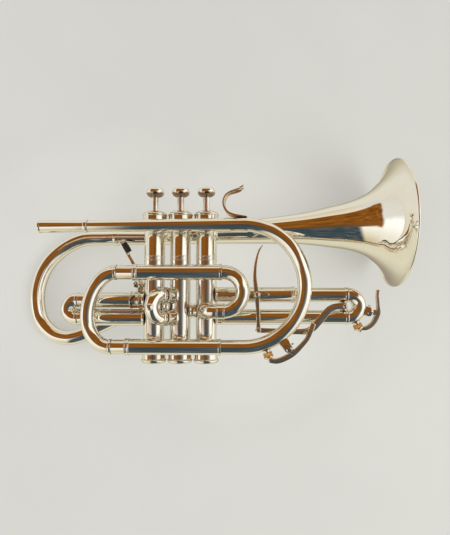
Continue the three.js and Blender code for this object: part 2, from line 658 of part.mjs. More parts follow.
// A point near a bend: out from the tube's centre line, in the direction of an angle.
function besideBend(key, angle, out) {
  const reach = key.bend + out;
  return { x: key.centre.x + reach * Math.cos(rad(angle)), z: key.centre.z + reach * Math.sin(rad(angle)) };
}

// Two ears and the hinge pin between them.
function waterKeySaddle(key) {
  const foot = besideBend(key, key.saddle, LEG_R + GAP);
  const pivot = besideBend(key, key.saddle, key.pivotOut);
  const end = besideBend(key, key.saddle, key.pivotOut + 1.8);
  const line = [[foot.x, foot.z], [pivot.x, pivot.z], [end.x, end.z]];
  const ears = [-4.2, 3].map((y) => bar(line, [2.6, 2, 1.4], key.y + y, 1.2));
  const base = besideBend(key, key.saddle, LEG_R + GAP + 1);
  const web = bar([[foot.x, foot.z], [base.x, base.z]], [2.6, 2.5], key.y - 3.2, 6.4);
  return joined(...ears, web, pinY(pivot, 0.9, key.y - 3.2, key.y + 3.2, 8));
}

// The sprung lever: a barrel on the hinge pin, a curved strip and the cup that holds the cork.
function waterKeyLever(key, strip, halfWidths) {
  const pivot = besideBend(key, key.saddle, key.pivotOut);
  const barrel = pinY(pivot, 2.1, key.y - 2.6, key.y + 2.6, 8);
  const hole = pinY(pivot, 1.25, key.y - 4, key.y + 4, 8);
  const away = ([x, z]) => Math.hypot(x - pivot.x, z - pivot.z);
  const near = strip.reduce((best, point) => (away(point) < away(best) ? point : best));
  const neck = bar([[pivot.x, pivot.z], near], [1.5, 1.5], key.y - 2, 4);
  const cup = besideBend(key, key.nipple, LEG_R + 5.2);
  const back = besideBend(key, key.nipple, LEG_R + 8.4);
  const cupDisc = rod(vec(cup.x, key.y, cup.z), vec(back.x, key.y, back.z), 4.2, 10);
  return cut(joined(bar(strip, halfWidths, key.y - 2.3, 4.6), neck, cupDisc, barrel), hole);
}

function corkPad(key) {
  const from = besideBend(key, key.nipple, LEG_R + 2.9);
  const to = besideBend(key, key.nipple, LEG_R + 4.9);
  return rod(vec(from.x, key.y, from.z), vec(to.x, key.y, to.z), 3.5, 10);
}

add('water_key_saddle_1', waterKeySaddle(KEY_1));
add('water_key_lever_1', waterKeyLever(KEY_1,
  [[79.5, 4.9], [86.3, 4.6], [94, 7.4], [100.9, 11.6], [107.8, 18.3], [112.7, 24.3], [115.6, 31.1],
    [117.6, 36.4]],
  [1.1, 1.3, 1.5, 1.7, 1.8, 1.8, 1.5, 1]));
add('water_key_cork_1', corkPad(KEY_1), CORK);
add('water_key_saddle_2', waterKeySaddle(KEY_2));
add('water_key_lever_2', waterKeyLever(KEY_2,
  [[162, 30.2], [171.6, 32.8], [176.4, 39.6], [178.4, 46.4], [177.9, 55], [179, 65.4]],
  [1.1, 1.4, 1.6, 1.6, 1.4, 1]));
add('water_key_cork_2', corkPad(KEY_2), CORK);

export default cornet;
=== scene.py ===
"""Looks for the cornet: smooth plated tubing, turned caps, keys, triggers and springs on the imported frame.

Lengths in this script are millimetres in the frame of the CAD part, and become metres when a mesh is made.
+X points to the bell, +Z to the finger buttons and -Y to the player's right, which is the side shown.
"""

import json
import math

import bmesh
import bpy
import numpy as np
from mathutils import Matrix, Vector

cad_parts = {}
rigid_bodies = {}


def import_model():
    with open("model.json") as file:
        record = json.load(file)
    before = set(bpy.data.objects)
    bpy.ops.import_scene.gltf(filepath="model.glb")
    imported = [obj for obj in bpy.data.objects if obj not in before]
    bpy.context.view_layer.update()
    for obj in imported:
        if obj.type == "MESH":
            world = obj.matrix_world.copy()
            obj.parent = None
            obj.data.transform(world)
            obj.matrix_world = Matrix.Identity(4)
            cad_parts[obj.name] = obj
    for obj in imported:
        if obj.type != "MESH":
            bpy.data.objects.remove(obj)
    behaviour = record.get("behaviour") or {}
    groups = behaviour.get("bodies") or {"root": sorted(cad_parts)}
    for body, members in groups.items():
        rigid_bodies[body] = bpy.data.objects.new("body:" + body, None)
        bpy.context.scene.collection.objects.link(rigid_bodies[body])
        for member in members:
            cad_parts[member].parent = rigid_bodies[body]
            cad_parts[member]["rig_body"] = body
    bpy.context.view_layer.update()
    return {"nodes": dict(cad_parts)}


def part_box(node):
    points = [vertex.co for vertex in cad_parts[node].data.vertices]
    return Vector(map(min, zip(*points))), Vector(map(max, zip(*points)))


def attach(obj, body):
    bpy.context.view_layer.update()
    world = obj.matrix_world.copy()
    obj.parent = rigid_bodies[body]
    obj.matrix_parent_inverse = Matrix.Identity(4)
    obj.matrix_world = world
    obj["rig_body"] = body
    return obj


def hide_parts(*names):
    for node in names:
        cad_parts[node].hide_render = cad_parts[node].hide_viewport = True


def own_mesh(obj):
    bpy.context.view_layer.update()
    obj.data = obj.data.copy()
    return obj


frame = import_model()
MM = 0.001

BORE_R, LEG_R, SLEEVE_R, FERRULE_R = 5.6, 6.2, 6.85, 7.4  # slide tubes, from the inside out
CASING_R, CASING_BORE_R = 9.25, 8.6
CROOK_R, CROOK_BORE_R = 6.6, 6.0
TABLE_GAP = 1.0
X, Y, Z = (1, 0, 0), (0, 1, 0), (0, 0, 1)
OUT_Y = (0, -1, 0)


# ---- places read from the frame ----

def extent(node):
    """Lowest and highest corner of a CAD node, in millimetres."""
    low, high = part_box(node)
    return np.array(low) / MM, np.array(high) / MM


def middle(node):
    low, high = extent(node)
    return (low + high) / 2


VALVE_X = {n: middle(f"valve_casing_{n}")[0] for n in (1, 2, 3)}
FRONT_Y = middle("tuning_sleeve_lower")[1]
LOWER_Z = middle("tuning_sleeve_lower")[2]
UPPER_Z = middle("tuning_sleeve_upper")[2]
BELL_Y = extent("bell_bow")[1][1] - CROOK_R
FIRST_Z, SECOND_Z, THIRD_Z = (
    {side: middle(f"{slide}_sleeve_{side}")[2] for side in ("upper", "lower")}
    for slide in ("first", "second", "third"))


# ---- shapes as lists of points and faces ----

def unit(v):
    v = np.asarray(v, float)
    return v / np.linalg.norm(v)


def skin(rings, looped=False):
    """Joins rings of points into one closed surface. A ring of one point is a tip."""
    starts = np.cumsum([0] + [len(r) for r in rings])
    order = list(range(len(rings)))
    pairs = list(zip(order, order[1:])) + ([(order[-1], 0)] if looped else [])
    faces = []
    for a, b in pairs:
        na, nb, sa, sb = len(rings[a]), len(rings[b]), int(starts[a]), int(starts[b])
        count = max(na, nb)
        for k in range(count):
            j = (k + 1) % count
            if na == 1 and nb > 1:
                faces.append((sa, sb + j, sb + k))
            elif nb == 1 and na > 1:
                faces.append((sa + k, sa + j, sb))
            elif na > 1:
                faces.append((sa + k, sa + j, sb + j, sb + k))
    if not looped:
        for end in (0, len(rings) - 1):
            if len(rings[end]) > 2:
                faces.append(tuple(range(int(starts[end]), int(starts[end]) + len(rings[end]))))
    return np.vstack(rings), faces


def eased(profile, radius=0.3, steps=3):
    """A profile with its corners rounded."""
    looped = profile[0][0] > 1e-4
    points = [np.array(p, float) for p in profile]
    out = []
    for i, p in enumerate(points):
        if not looped and i in (0, len(points) - 1):
            out.append(p)
            continue
        back, ahead = points[i - 1] - p, points[(i + 1) % len(points)] - p
        lb, la = np.linalg.norm(back), np.linalg.norm(ahead)
        if back @ ahead / (lb * la) < -0.985:
            out.append(p)
            continue
        reach = min(radius, 0.45 * lb, 0.45 * la)
        first, last = p + back / lb * reach, p + ahead / la * reach
        for t in np.linspace(0, 1, steps + 1):
            out.append((1 - t) ** 2 * first + 2 * t * (1 - t) * p + t * t * last)
    return out


def turned(profile, start=(0, 0, 0), along=Z, sides=64, knurl=None):
    """Turns (radius, height) points about an axis. knurl is (low, high, count, depth)."""
    axis = unit(along)
    side = unit(np.cross(axis, Y if abs(axis[1]) < 0.9 else Z))
    other = np.cross(axis, side)
    turn = np.arange(sides) * 2 * math.pi / sides
    circle = np.outer(np.cos(turn), side) + np.outer(np.sin(turn), other)
    rings = []
    for radius, height in profile:
        centre = np.asarray(start, float) + axis * height
        if radius < 1e-4:
            rings.append(centre[None])
            continue
        radii = np.full(sides, float(radius))
        if knurl and knurl[0] <= height <= knurl[1]:
            radii = radii - knurl[3] * (0.5 + 0.5 * np.cos(knurl[2] * turn))
        rings.append(centre + circle * radii[:, None])
    return skin(rings, looped=profile[0][0] > 1e-4)


def lathe(profile, corner, *place):
    """Turns a profile with rounded corners."""
    return turned(eased(profile, corner), *place)


def heading(degrees):
    """A direction in the plane of the loops, from +X towards +Z."""
    return np.array((math.cos(math.radians(degrees)), 0, math.sin(math.radians(degrees))))


def disc_outline(radius, sides=40):
    turn = np.arange(sides) * 2 * math.pi / sides
    return np.column_stack([np.cos(turn), np.sin(turn)]) * radius


def bar_outline(half_wide, half_deep, corner=0.5, steps=3):
    """A rectangle with rounded corners: half widths across and along the lay."""
    corner = min(corner, half_wide * 0.98, half_deep * 0.98)
    points = []
    for cx, cy, start in ((1, 1, 0), (-1, 1, 90), (-1, -1, 180), (1, -1, 270)):
        for a in np.radians(np.linspace(start, start + 90, steps + 1)):
            points.append((cx * (half_wide - corner) + corner * math.cos(a),
                           cy * (half_deep - corner) + corner * math.sin(a)))
    return np.array(points)


def frames_along(path, lay):
    """Tangent, first and second axis at every station."""
    tangent = np.gradient(path, axis=0)
    tangent /= np.linalg.norm(tangent, axis=1)[:, None]
    if lay is not None:
        second = np.tile(unit(lay), (len(path), 1))
        second -= tangent * (second * tangent).sum(1)[:, None]
        second /= np.linalg.norm(second, axis=1)[:, None]
        return tangent, np.cross(second, tangent), second
    start = Y if abs(tangent[0][1]) < 0.9 else Z
    first = [unit(np.cross(tangent[0], start))]
    for t in tangent[1:]:
        first.append(unit(first[-1] - t * (first[-1] @ t)))
    first = np.array(first)
    return tangent, first, np.cross(tangent, first)


def swept(path, outline, lay=None, scale=None, tip=0.0, bore=None):
    """Skins an outline along a path. outline may be one outline or one per station."""
    path = np.asarray(path, float)
    count = len(path)
    outlines = [np.asarray(outline)] * count if np.ndim(outline) == 2 else [np.asarray(o) for o in outline]
    scale = np.ones(count) if scale is None else np.broadcast_to(np.asarray(scale, float), (count,))
    tangent, first, second = frames_along(path, lay)

    def ring(i, factor=1.0, shift=0.0):
        section = outlines[i] * scale[i] * factor
        return path[i] + tangent[i] * shift + section[:, :1] * first[i] + section[:, 1:] * second[i]

    rings = [ring(i) for i in range(count)]
    if bore is not None:
        inside = [path[i] + (ring(i) - path[i]) * bore for i in range(count)]
        return skin(rings + inside[::-1], looped=True)
    if tip:
        angles = np.radians((20, 40, 60, 76))
        head = [ring(0, math.cos(a), -tip * math.sin(a)) for a in angles[::-1]]
        tail = [ring(count - 1, math.cos(a), tip * math.sin(a)) for a in angles]
        rings = [path[:1] - tangent[0] * tip] + head + rings + tail + [path[-1:] + tangent[-1] * tip]
    return skin(rings)


def tube(path, radius, inner=None, sides=48):
    """A round tube along a path; radius may change from station to station."""
    radius = np.broadcast_to(np.asarray(radius, float), (len(path),))
    bore = None if inner is None else inner / radius.mean()
    return swept(path, disc_outline(1.0, sides), scale=radius, bore=bore)


def through(points, steps=12):
    """Centripetal Catmull-Rom curve through points."""
    p = [np.asarray(q, float) for q in points]
    p = [2 * p[0] - p[1]] + p + [2 * p[-1] - p[-2]]
    out = []
    for a, b, c, d in zip(p, p[1:], p[2:], p[3:]):
        t0 = 0.0
        t1 = t0 + np.linalg.norm(b - a) ** 0.5
        t2 = t1 + np.linalg.norm(c - b) ** 0.5
        t3 = t2 + np.linalg.norm(d - c) ** 0.5
        for t in np.linspace(t1, t2, steps, endpoint=False):
            a1 = (t1 - t) / (t1 - t0) * a + (t - t0) / (t1 - t0) * b
            a2 = (t2 - t) / (t2 - t1) * b + (t - t1) / (t2 - t1) * c
            a3 = (t3 - t) / (t3 - t2) * c + (t - t2) / (t3 - t2) * d
            b1 = (t2 - t) / (t2 - t0) * a1 + (t - t0) / (t2 - t0) * a2
            b2 = (t3 - t) / (t3 - t1) * a2 + (t - t1) / (t3 - t1) * a3
            out.append((t2 - t) / (t2 - t1) * b1 + (t - t1) / (t2 - t1) * b2)
    out.append(p[-2])
    return np.array(out)


def arc(centre, radius, start, end, y, step=3.0):
    """Stations on a circle in a plane of constant Y; centre is (x, z), degrees from +X towards +Z."""
    count = max(3, int(abs(end - start) / step) + 1)
    a = np.radians(np.linspace(start, end, count))
    return np.column_stack(
        [centre[0] + radius * np.cos(a), np.full(count, float(y)), centre[1] + radius * np.sin(a)])


def bezier(a, b, c, d, steps=24):
    t = np.linspace(0, 1, steps + 1)[:, None]
    a, b, c, d = (np.asarray(q, float) for q in (a, b, c, d))
    return (1 - t) ** 3 * a + 3 * t * (1 - t) ** 2 * b + 3 * t * t * (1 - t) * c + t ** 3 * d


def line(a, b, steps=1):
    t = np.linspace(0, 1, steps + 1)[:, None]
    return np.asarray(a, float) * (1 - t) + np.asarray(b, float) * t


def joined_path(*parts):
    """Parts of a path end to end, with doubled stations dropped."""
    path = np.vstack(parts)
    keep = [0]
    for i in range(1, len(path)):
        if np.linalg.norm(path[i] - path[keep[-1]]) > 0.02:
            keep.append(i)
    return path[keep]


def strip(points, half_widths, y_middle, half_deep, corner=0.5, steps=8, tip=0.0, lay=Y):
    """A bar that follows (x, z) points, its depth along lay. half_widths and half_deep run along it."""
    centre = through([(x, y_middle, z) for x, z in points], steps)
    at = np.linspace(0, 1, len(centre))
    marks = np.linspace(0, 1, len(points))
    wide = np.interp(at, marks, half_widths)
    deep = np.interp(at, marks, np.broadcast_to(half_deep, (len(points),)))
    outlines = [bar_outline(w, d, corner) for w, d in zip(wide, deep)]
    return swept(centre, outlines, lay=lay, tip=tip)


def about(centre, points):
    """Points given from a centre."""
    return [(centre[0] + x, centre[1] + z) for x, z in points]


def domed_head(centre, along, radius, height):
    """A round-topped screw head on a thin washer."""
    profile = eased([(0, 0), (radius * 1.25, 0), (radius * 1.25, height * 0.2), (radius, height * 0.25),
                     (radius, height * 0.45), (radius * 0.85, height * 0.75), (radius * 0.5, height * 0.95),
                     (0, height)], 0.2)
    return turned(profile, centre, along, 40)


def slotted_head(centre, along, radius, height, slot=0.35):
    """A screw head: a base disc and two half discs with the slot between them."""
    axis = unit(along)
    side = unit(np.cross(axis, (0.3, 0.1, 1)))
    other = np.cross(axis, side)
    base = turned([(0, 0), (radius, 0), (radius, height * 0.5), (0, height * 0.5)], centre, axis, 32)
    solids = [base]
    reach = math.asin(slot / radius)
    for half in (0, math.pi):
        a = np.linspace(reach, math.pi - reach, 14) + half
        rings = []
        for h, grow in ((height * 0.45, 1.0), (height * 0.8, 1.0), (height, 0.86)):
            shape = np.outer(np.cos(a), side) * radius * grow + np.outer(np.sin(a), other) * radius * grow
            lift = np.sin(a) * radius * grow
            keep = np.where(np.abs(lift) < slot, np.sign(math.sin(math.pi / 2 + half)) * slot, lift)
            shape = shape + np.outer(keep - lift, other)
            rings.append(np.asarray(centre, float) + axis * h + shape)
        solids.append(skin(rings))
    return solids


# ---- materials ----

class Nodes:
    """Adds nodes to a material or to the world. An input is a plain value or the output of another node."""

    def __init__(self, owner):
        owner.use_nodes = True
        self.owner, self.tree = owner, owner.node_tree
        self.surface = next(node.inputs["Surface"] for node in self.tree.nodes if "Surface" in node.inputs)
        self.shader = self.surface.links[0].from_node

    def fill(self, socket, value):
        if isinstance(value, bpy.types.NodeSocket):
            self.tree.links.new(value, socket)
        elif isinstance(value, tuple) and len(value) < len(socket.default_value):
            socket.default_value = (*value, 1)
        elif value is not None:
            socket.default_value = value

    def shade(self, node=None, **values):
        """Fills inputs by name, with _ for a space; without a node, those of the shader on the surface."""
        for name, value in values.items():
            self.fill((node or self.shader).inputs[name.replace("_", " ")], value)

    def add(self, kind, *inputs, **values):
        """A node. Lower-case names are its settings, capitalised ones its inputs."""
        node = self.tree.nodes.new("ShaderNode" + kind)
        for name in filter(str.islower, values):
            setattr(node, name, values[name])
        for socket, value in zip(node.inputs, inputs):
            self.fill(socket, value)
        self.shade(node, **{name: value for name, value in values.items() if not name.islower()})
        return node

    def place(self):
        return self.add("TexCoord").outputs["Object"]

    def geometry(self, name):
        return self.add("NewGeometry").outputs[name]

    def ray(self, kind):
        return self.add("LightPath").outputs[f"Is {kind} Ray"]

    def noise(self, place, scale, detail=3.0, rough=0.55):
        return self.add("TexNoise", Vector=place, Scale=scale, Detail=detail, Roughness=rough).outputs["Fac"]

    def ramp(self, factor, *stops):
        """A colour ramp of (place, red, green, blue) stops."""
        node = self.add("ValToRGB", factor)
        elements = node.color_ramp.elements
        while len(elements) < len(stops):
            elements.new(0.5)
        for element, (place, *colour) in zip(elements, stops):
            element.position, element.color = place, (*colour, 1)
        return node.outputs["Color"]

    def span(self, value, low, high, out_low, out_high, **settings):
        return self.add("MapRange", value, low, high, out_low, out_high, **settings).outputs["Result"]

    def window(self, value, low, high, soft):
        """1 between low and high, with soft edges."""
        rise = self.span(value, low - soft, low + soft, 0.0, 1.0, interpolation_type="SMOOTHSTEP")
        fall = self.span(value, high - soft, high + soft, 1.0, 0.0, interpolation_type="SMOOTHSTEP")
        return self.times(rise, fall)

    def maths(self, operation, *values):
        return self.add("Math", *values, operation=operation).outputs["Value"]

    def times(self, *values):
        return self.maths("MULTIPLY", *values)

    def plus(self, *values):
        return self.maths("ADD", *values)

    def degrees(self, operation, *values):
        return self.maths("DEGREES", self.maths(operation, *values))

    def vector(self, operation, *values, **named):
        return self.add("VectorMath", *values, operation=operation, **named).outputs

    def blend(self, factor, under, over, kind="MIX"):
        node = self.add("Mix", data_type="RGBA", blend_type=kind, Factor=factor, A=under, B=over)
        return node.outputs["Result"]

    def mix(self, factor, under, over):
        """One shader over another."""
        return self.add("MixShader", factor, under, over).outputs["Shader"]

    def bump(self, height, strength, distance, under=None):
        return self.add("Bump", Height=height, Strength=strength, Distance=distance,
                        Normal=under).outputs["Normal"]


def new_material(name):
    nodes = Nodes(bpy.data.materials.new(name))
    return nodes, nodes.place()


def tipped_normal(nodes, place, tip):
    """The surface normal, tipped by a small vector on the upper halves of the bent tubes."""
    height = nodes.add("SeparateXYZ", place).outputs["Z"]
    share = nodes.times(nodes.span(height, 0.045, 0.085, 0.0, 1.0),
                        nodes.span(height, 0.104, 0.116, 1.0, 0.0))
    lean = nodes.vector("SCALE", tip, Scale=share)["Vector"]
    tipped = nodes.vector("ADD", nodes.geometry("Normal"), lean)["Vector"]
    return nodes.vector("NORMALIZE", tipped)["Vector"]


def plated(name, light, dark, rough, wave=0.05, crevice_shade_reach=0.5, tip=None, underside_shade=None):
    """Polished plate: warm cloudiness, painted warm shade in crevices, fine wiping marks and a slightly
    wavy, hand-buffed surface.
    """
    nodes, place = new_material(name)
    colour = nodes.ramp(nodes.noise(place, 38, 4, 0.6), (0.3, *dark), (0.62, *light))
    # painted shade: an ambient occlusion ramp darkens the plate towards warm brown in crevices, standing in
    # for shade and mirrored shadow
    crevice = nodes.add("AmbientOcclusion", Distance=0.006, samples=4).outputs["AO"]
    shade = nodes.ramp(crevice, (0.0, 0.62, 0.49, 0.29), (crevice_shade_reach, 1, 1, 1))
    colour = nodes.blend(1.0, colour, shade, "MULTIPLY")
    # painted shade: faces turned downwards blend towards this dark brown, a painted reflection of the shade
    # under the part
    if underside_shade is not None:
        normal = nodes.add("SeparateXYZ", nodes.geometry("Normal")).outputs["Z"]
        colour = nodes.blend(nodes.span(normal, -0.12, -0.40, 0.0, 0.9), colour, underside_shade)
    wiping = nodes.add("Mapping", Vector=place, Scale=(0.35, 1.0, 3.0)).outputs["Vector"]
    marks = nodes.noise(wiping, 900, 5, 0.7)
    under = tipped_normal(nodes, place, tip) if tip else None
    swell = nodes.bump(nodes.noise(place, 75, 1, 0.4), wave, 0.0006, under)
    nodes.shade(Base_Color=colour, Metallic=1.0, Normal=nodes.bump(marks, 0.02, 0.00005, swell),
                Roughness=nodes.span(marks, 0.25, 0.8, rough * 0.75, rough * 1.6))
    return nodes.owner


def rubber_material():
    nodes, place = new_material("black_rubber")
    grain = nodes.noise(place, 1500, 4, 0.6)
    nodes.shade(Base_Color=nodes.ramp(nodes.noise(place, 220, 3), (0.3, 0.008, 0.008, 0.010),
                                      (0.7, 0.022, 0.022, 0.025)),
                Roughness=nodes.span(grain, 0.2, 0.8, 0.45, 0.7), Normal=nodes.bump(grain, 0.25, 0.0001))
    return nodes.owner


def cork_material():
    nodes, place = new_material("cork")
    cells = nodes.add("TexVoronoi", Vector=place, Scale=900).outputs["Distance"]
    nodes.shade(Base_Color=nodes.ramp(cells, (0.05, 0.15, 0.05, 0.01), (0.35, 0.46, 0.18, 0.03),
                                      (0.8, 0.60, 0.29, 0.07)),
                Roughness=0.85, Normal=nodes.bump(cells, 0.6, 0.0002))
    return nodes.owner


def pearl_material():
    nodes, place = new_material("pearl")
    swirl = nodes.add("TexWave", Vector=place, Scale=160, Distortion=9, Detail=3).outputs["Fac"]
    nodes.shade(Base_Color=nodes.ramp(swirl, (0.0, 0.70, 0.72, 0.70), (0.5, 0.86, 0.80, 0.76),
                                      (1.0, 0.80, 0.86, 0.84)),
                Roughness=0.18, Coat_Weight=0.6)
    return nodes.owner


PLATE = ((0.975, 0.955, 0.885), (0.94, 0.905, 0.80), 0.03)
SILVER = plated("silver_plate", *PLATE)
BOW_SILVER = plated("silver_plate_bows", *PLATE, tip=(0.12, 0, 0.18))
# the buttons get a painted brown shade on their undersides
BUTTON_SILVER = plated("silver_plate_buttons", (0.96, 0.94, 0.88), (0.90, 0.87, 0.79), 0.05,
                       underside_shade=(0.30, 0.17, 0.08))
CASING_SILVER = plated("silver_plate_casings", (0.96, 0.94, 0.87), (0.91, 0.88, 0.79), 0.10, 0.09)
STEM_SILVER = plated("silver_plate_stems", (0.93, 0.92, 0.88), (0.88, 0.86, 0.80), 0.26)
KEY_SILVER = plated("silver_plate_keys", (0.94, 0.90, 0.80), (0.84, 0.78, 0.66), 0.09, 0.08, 0.7)
STEEL = plated("spring_steel", (0.62, 0.62, 0.63), (0.45, 0.44, 0.43), 0.22, 0.02, 0.6)
DARK_WIRE = plated("blued_spring_wire", (0.07, 0.07, 0.08), (0.03, 0.03, 0.035), 0.3, 0.02, 0.6)
MONEL = plated("piston_monel", (0.72, 0.70, 0.66), (0.60, 0.58, 0.54), 0.24, 0.02, 0.6)
RUBBER, CORK, PEARL = rubber_material(), cork_material(), pearl_material()


# ---- pieces ----

def piece(name, solids, node=None, material=SILVER, body=None, crease=40):
    """One object made of closed solids. It stands for a CAD node and rides on that node's body."""
    points, faces, offset = [], [], 0
    for verts, polygons in solids:
        points.append(verts)
        faces += [tuple(i + offset for i in polygon) for polygon in polygons]
        offset += len(verts)
    mesh = bpy.data.meshes.new(name)
    mesh.from_pydata((np.vstack(points) * MM).tolist(), [], faces)
    tidy = bmesh.new()
    tidy.from_mesh(mesh)
    bmesh.ops.recalc_face_normals(tidy, faces=tidy.faces)
    tidy.to_mesh(mesh)
    tidy.free()
    mesh.shade_smooth()
    mesh.set_sharp_from_angle(angle=math.radians(crease))
    mesh.materials.append(material)
    obj = bpy.data.objects.new(name, mesh)
    bpy.context.scene.collection.objects.link(obj)
    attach(obj, body or frame["nodes"][node]["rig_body"])
    if node:
        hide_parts(node)
    return obj


def keep_node(node, material):
    """A CAD node that stays, with its own finish."""
    obj = frame["nodes"][node]
    obj.data.materials.clear()
    obj.data.materials.append(material)
    obj.data.shade_smooth()
    obj.data.set_sharp_from_angle(angle=math.radians(35))


def sleeve(start, end, ferrule=4.0):
    """An outer slide tube with a raised, grooved ferrule at the far end."""
    along = np.subtract(end, start)
    length = float(np.linalg.norm(along))
    neck = length - ferrule
    return lathe([
        (LEG_R + 0.3, 0), (SLEEVE_R, 0), (SLEEVE_R, neck - 0.2), (FERRULE_R, neck), (FERRULE_R, neck + 0.9),
        (FERRULE_R - 0.25, neck + 1.1), (FERRULE_R - 0.25, length - 1.1), (FERRULE_R, length - 0.9),
        (FERRULE_R, length), (LEG_R + 0.3, length)], 0.2, start, along)


def band(centre, along, radius, half, swell=0.35):
    """A soldered ring round a tube; half is half its length."""
    return lathe([
        (radius - 0.5, -half), (radius + swell * 0.6, -half), (radius + swell, -half * 0.5),
        (radius + swell, half * 0.5), (radius + swell * 0.6, half), (radius - 0.5, half)],
        0.15, centre, along)


# ---- valves ----

def spring(number):
    """The return spring under the piston."""
    low, high = extent(f"valve_spring_{number}")
    radius = (high[0] - low[0]) / 2 - 0.55
    turns = np.linspace(0, 7 * 2 * math.pi, 300)
    rise = np.clip((turns - 4) / (turns[-1] - 8), 0, 1)
    z = low[2] + 0.5 + rise * (high[2] - low[2] - 1.0)
    path = np.column_stack([VALVE_X[number] + radius * np.cos(turns), radius * np.sin(turns), z])
    obj = piece(f"return_spring_{number}", [swept(path, disc_outline(0.5, 10))], f"valve_spring_{number}",
                STEEL, "root")
    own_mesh(obj)


def valve(number):
    """Casing, caps, stem, button, piston and spring of one valve, turned about its axis."""
    foot = (VALVE_X[number], 0, 0)

    def turn(name, node, material, sides, corner, profile, knurl=None):
        solid = turned(eased(profile, corner), foot, Z, sides, knurl)
        piece(f"{name}_{number}", [solid], f"{node}_{number}", material)

    low, high = extent(f"valve_casing_{number}")
    bottom, top, joint = low[2], high[2], 94.8
    turn("casing", "valve_casing", CASING_SILVER, 96, 0.15, [
        (CASING_BORE_R, bottom), (8.95, bottom), (8.95, 8.7), (CASING_R, 8.9), (CASING_R, joint - 2.3),
        (CASING_R + 0.3, joint - 2.1), (CASING_R + 0.3, joint - 1.2), (CASING_R - 0.1, joint - 1.0),
        (CASING_R - 0.1, joint + 0.6), (CASING_R + 0.3, joint + 0.8), (CASING_R + 0.3, joint + 1.7),
        (CASING_R, joint + 1.9), (CASING_R, 128.4), (8.95, 128.6), (8.95, top), (CASING_BORE_R, top)])
    turn("bottom_cap", "bottom_cap", KEY_SILVER, 240, 0.35, [
        (0, 0), (8.4, 0), (10.2, 0.55), (11.1, 1.7), (11.35, 2.9), (10.9, 3.7), (10.35, 4.1), (10.35, 4.5),
        (10.35, 7.6), (10.35, 8.0), (10.1, 8.4), (9.3, 8.4), (9.3, 3.3), (0, 2.2)], (4.6, 7.5, 60, 0.16))
    turn("top_cap", "top_cap", KEY_SILVER, 240, 0.3, [
        (9.4, 129.3), (10.7, 129.3), (10.85, 129.6), (10.85, 130.0), (10.85, 133.0), (10.85, 133.4),
        (11.3, 133.9), (11.35, 134.8), (10.9, 135.7), (9.7, 136.8), (7.6, 137.75), (5.2, 138.25),
        (4.4, 138.5), (3.5, 138.5), (3.4, 138.2), (3.4, 135.2), (9.4, 131.8)], (130.1, 132.9, 60, 0.14))
    h = extent(f"finger_button_{number}")[0][2]
    stem_low = extent(f"valve_stem_{number}")[0][2]
    turn("stem", "valve_stem", STEM_SILVER, 48, 0.2, [
        (0, stem_low), (3.1, stem_low), (3.1, h - 0.1), (0, h - 0.1)])
    edge = through([(3.3, 0, h), (5.0, 0, h + 0.35), (6.9, 0, h + 1.5), (8.0, 0, h + 3.4),
                    (8.05, 0, h + 4.9), (7.4, 0, h + 6.7), (6.4, 0, h + 7.9), (5.9, 0, h + 8.15)], 5)
    rim = [(0, h)] + [(p[0], p[2]) for p in edge] + [(5.7, h + 7.8), (0, h + 7.8)]
    piece(f"button_{number}", [turned(rim, foot, sides=72)], f"finger_button_{number}", BUTTON_SILVER)
    inlay = lathe([(0, h + 7.85), (5.55, h + 7.85), (5.55, h + 8.15), (4.2, h + 8.6), (2, h + 8.85),
                   (0, h + 8.9)], 0.2, foot, Z, 48)
    piece(f"button_pearl_{number}", [inlay], material=PEARL, body=f"valve_{number}")
    keep_node(f"piston_{number}", MONEL)
    spring(number)


for number in (1, 2, 3):
    valve(number)


def knuckle(node, left, right):
    """A short tube between two casings, flared where it meets each of them."""
    x0, x1 = VALVE_X[left] + CASING_R - 0.9, VALVE_X[right] - CASING_R + 0.9
    length = x1 - x0
    solid = lathe([(BORE_R, 0), (7.2, 0), (6.9, 1.4), (LEG_R, 2.6), (LEG_R, length - 2.6),
                   (6.9, length - 1.4), (7.2, length), (BORE_R, length)], 0.4, (x0, 0, middle(node)[2]), X)
    piece(node + "_tube", [solid], node)


knuckle("knuckle_1_2", 1, 2)
knuckle("knuckle_2_3", 2, 3)


# ---- leadpipe, tuning slide and entry bow ----

LOOP = (57.3, 69.6)
LOOP_R = LOOP[1] - LOWER_Z
LEAD_START = np.array((extent("leadpipe")[0][0], FRONT_Y, 122.2))
LOOP_TOP = np.array((LOOP[0], FRONT_Y, LOOP[1] + LOOP_R))
LEAD_DIRECTION = unit(LOOP_TOP - LEAD_START)


def receiver():
    length = 44.0
    solid = lathe([
        (4.75, 0), (5.35, 0), (5.7, 0.4), (5.7, 1.5), (5.35, 2.1), (5.45, 3.2), (5.0, length - 4.2),
        (5.0, length - 3.3), (5.55, length - 3.0), (5.7, length - 2.4), (5.7, length - 0.5), (5.45, length),
        (4.15, length), (4.45, length * 0.5)], 0.25, LEAD_START - LEAD_DIRECTION * (length + 0.3),
        LEAD_DIRECTION)
    piece("receiver", [solid], "mouthpiece_receiver")


def leadpipe():
    sleeve_end = extent("tuning_sleeve_lower")[1][0]
    path = joined_path(line(LEAD_START, LOOP_TOP, 24), arc(LOOP, LOOP_R, 90, -90, FRONT_Y, 2.5),
                       line((LOOP[0], FRONT_Y, LOWER_Z), (sleeve_end + 0.3, FRONT_Y, LOWER_Z), 4))
    radius = np.interp(np.arange(len(path)), [0, 24], [4.9, LEG_R])
    piece("leadpipe_and_loop", [tube(path, radius, BORE_R - 1.0)], "leadpipe")


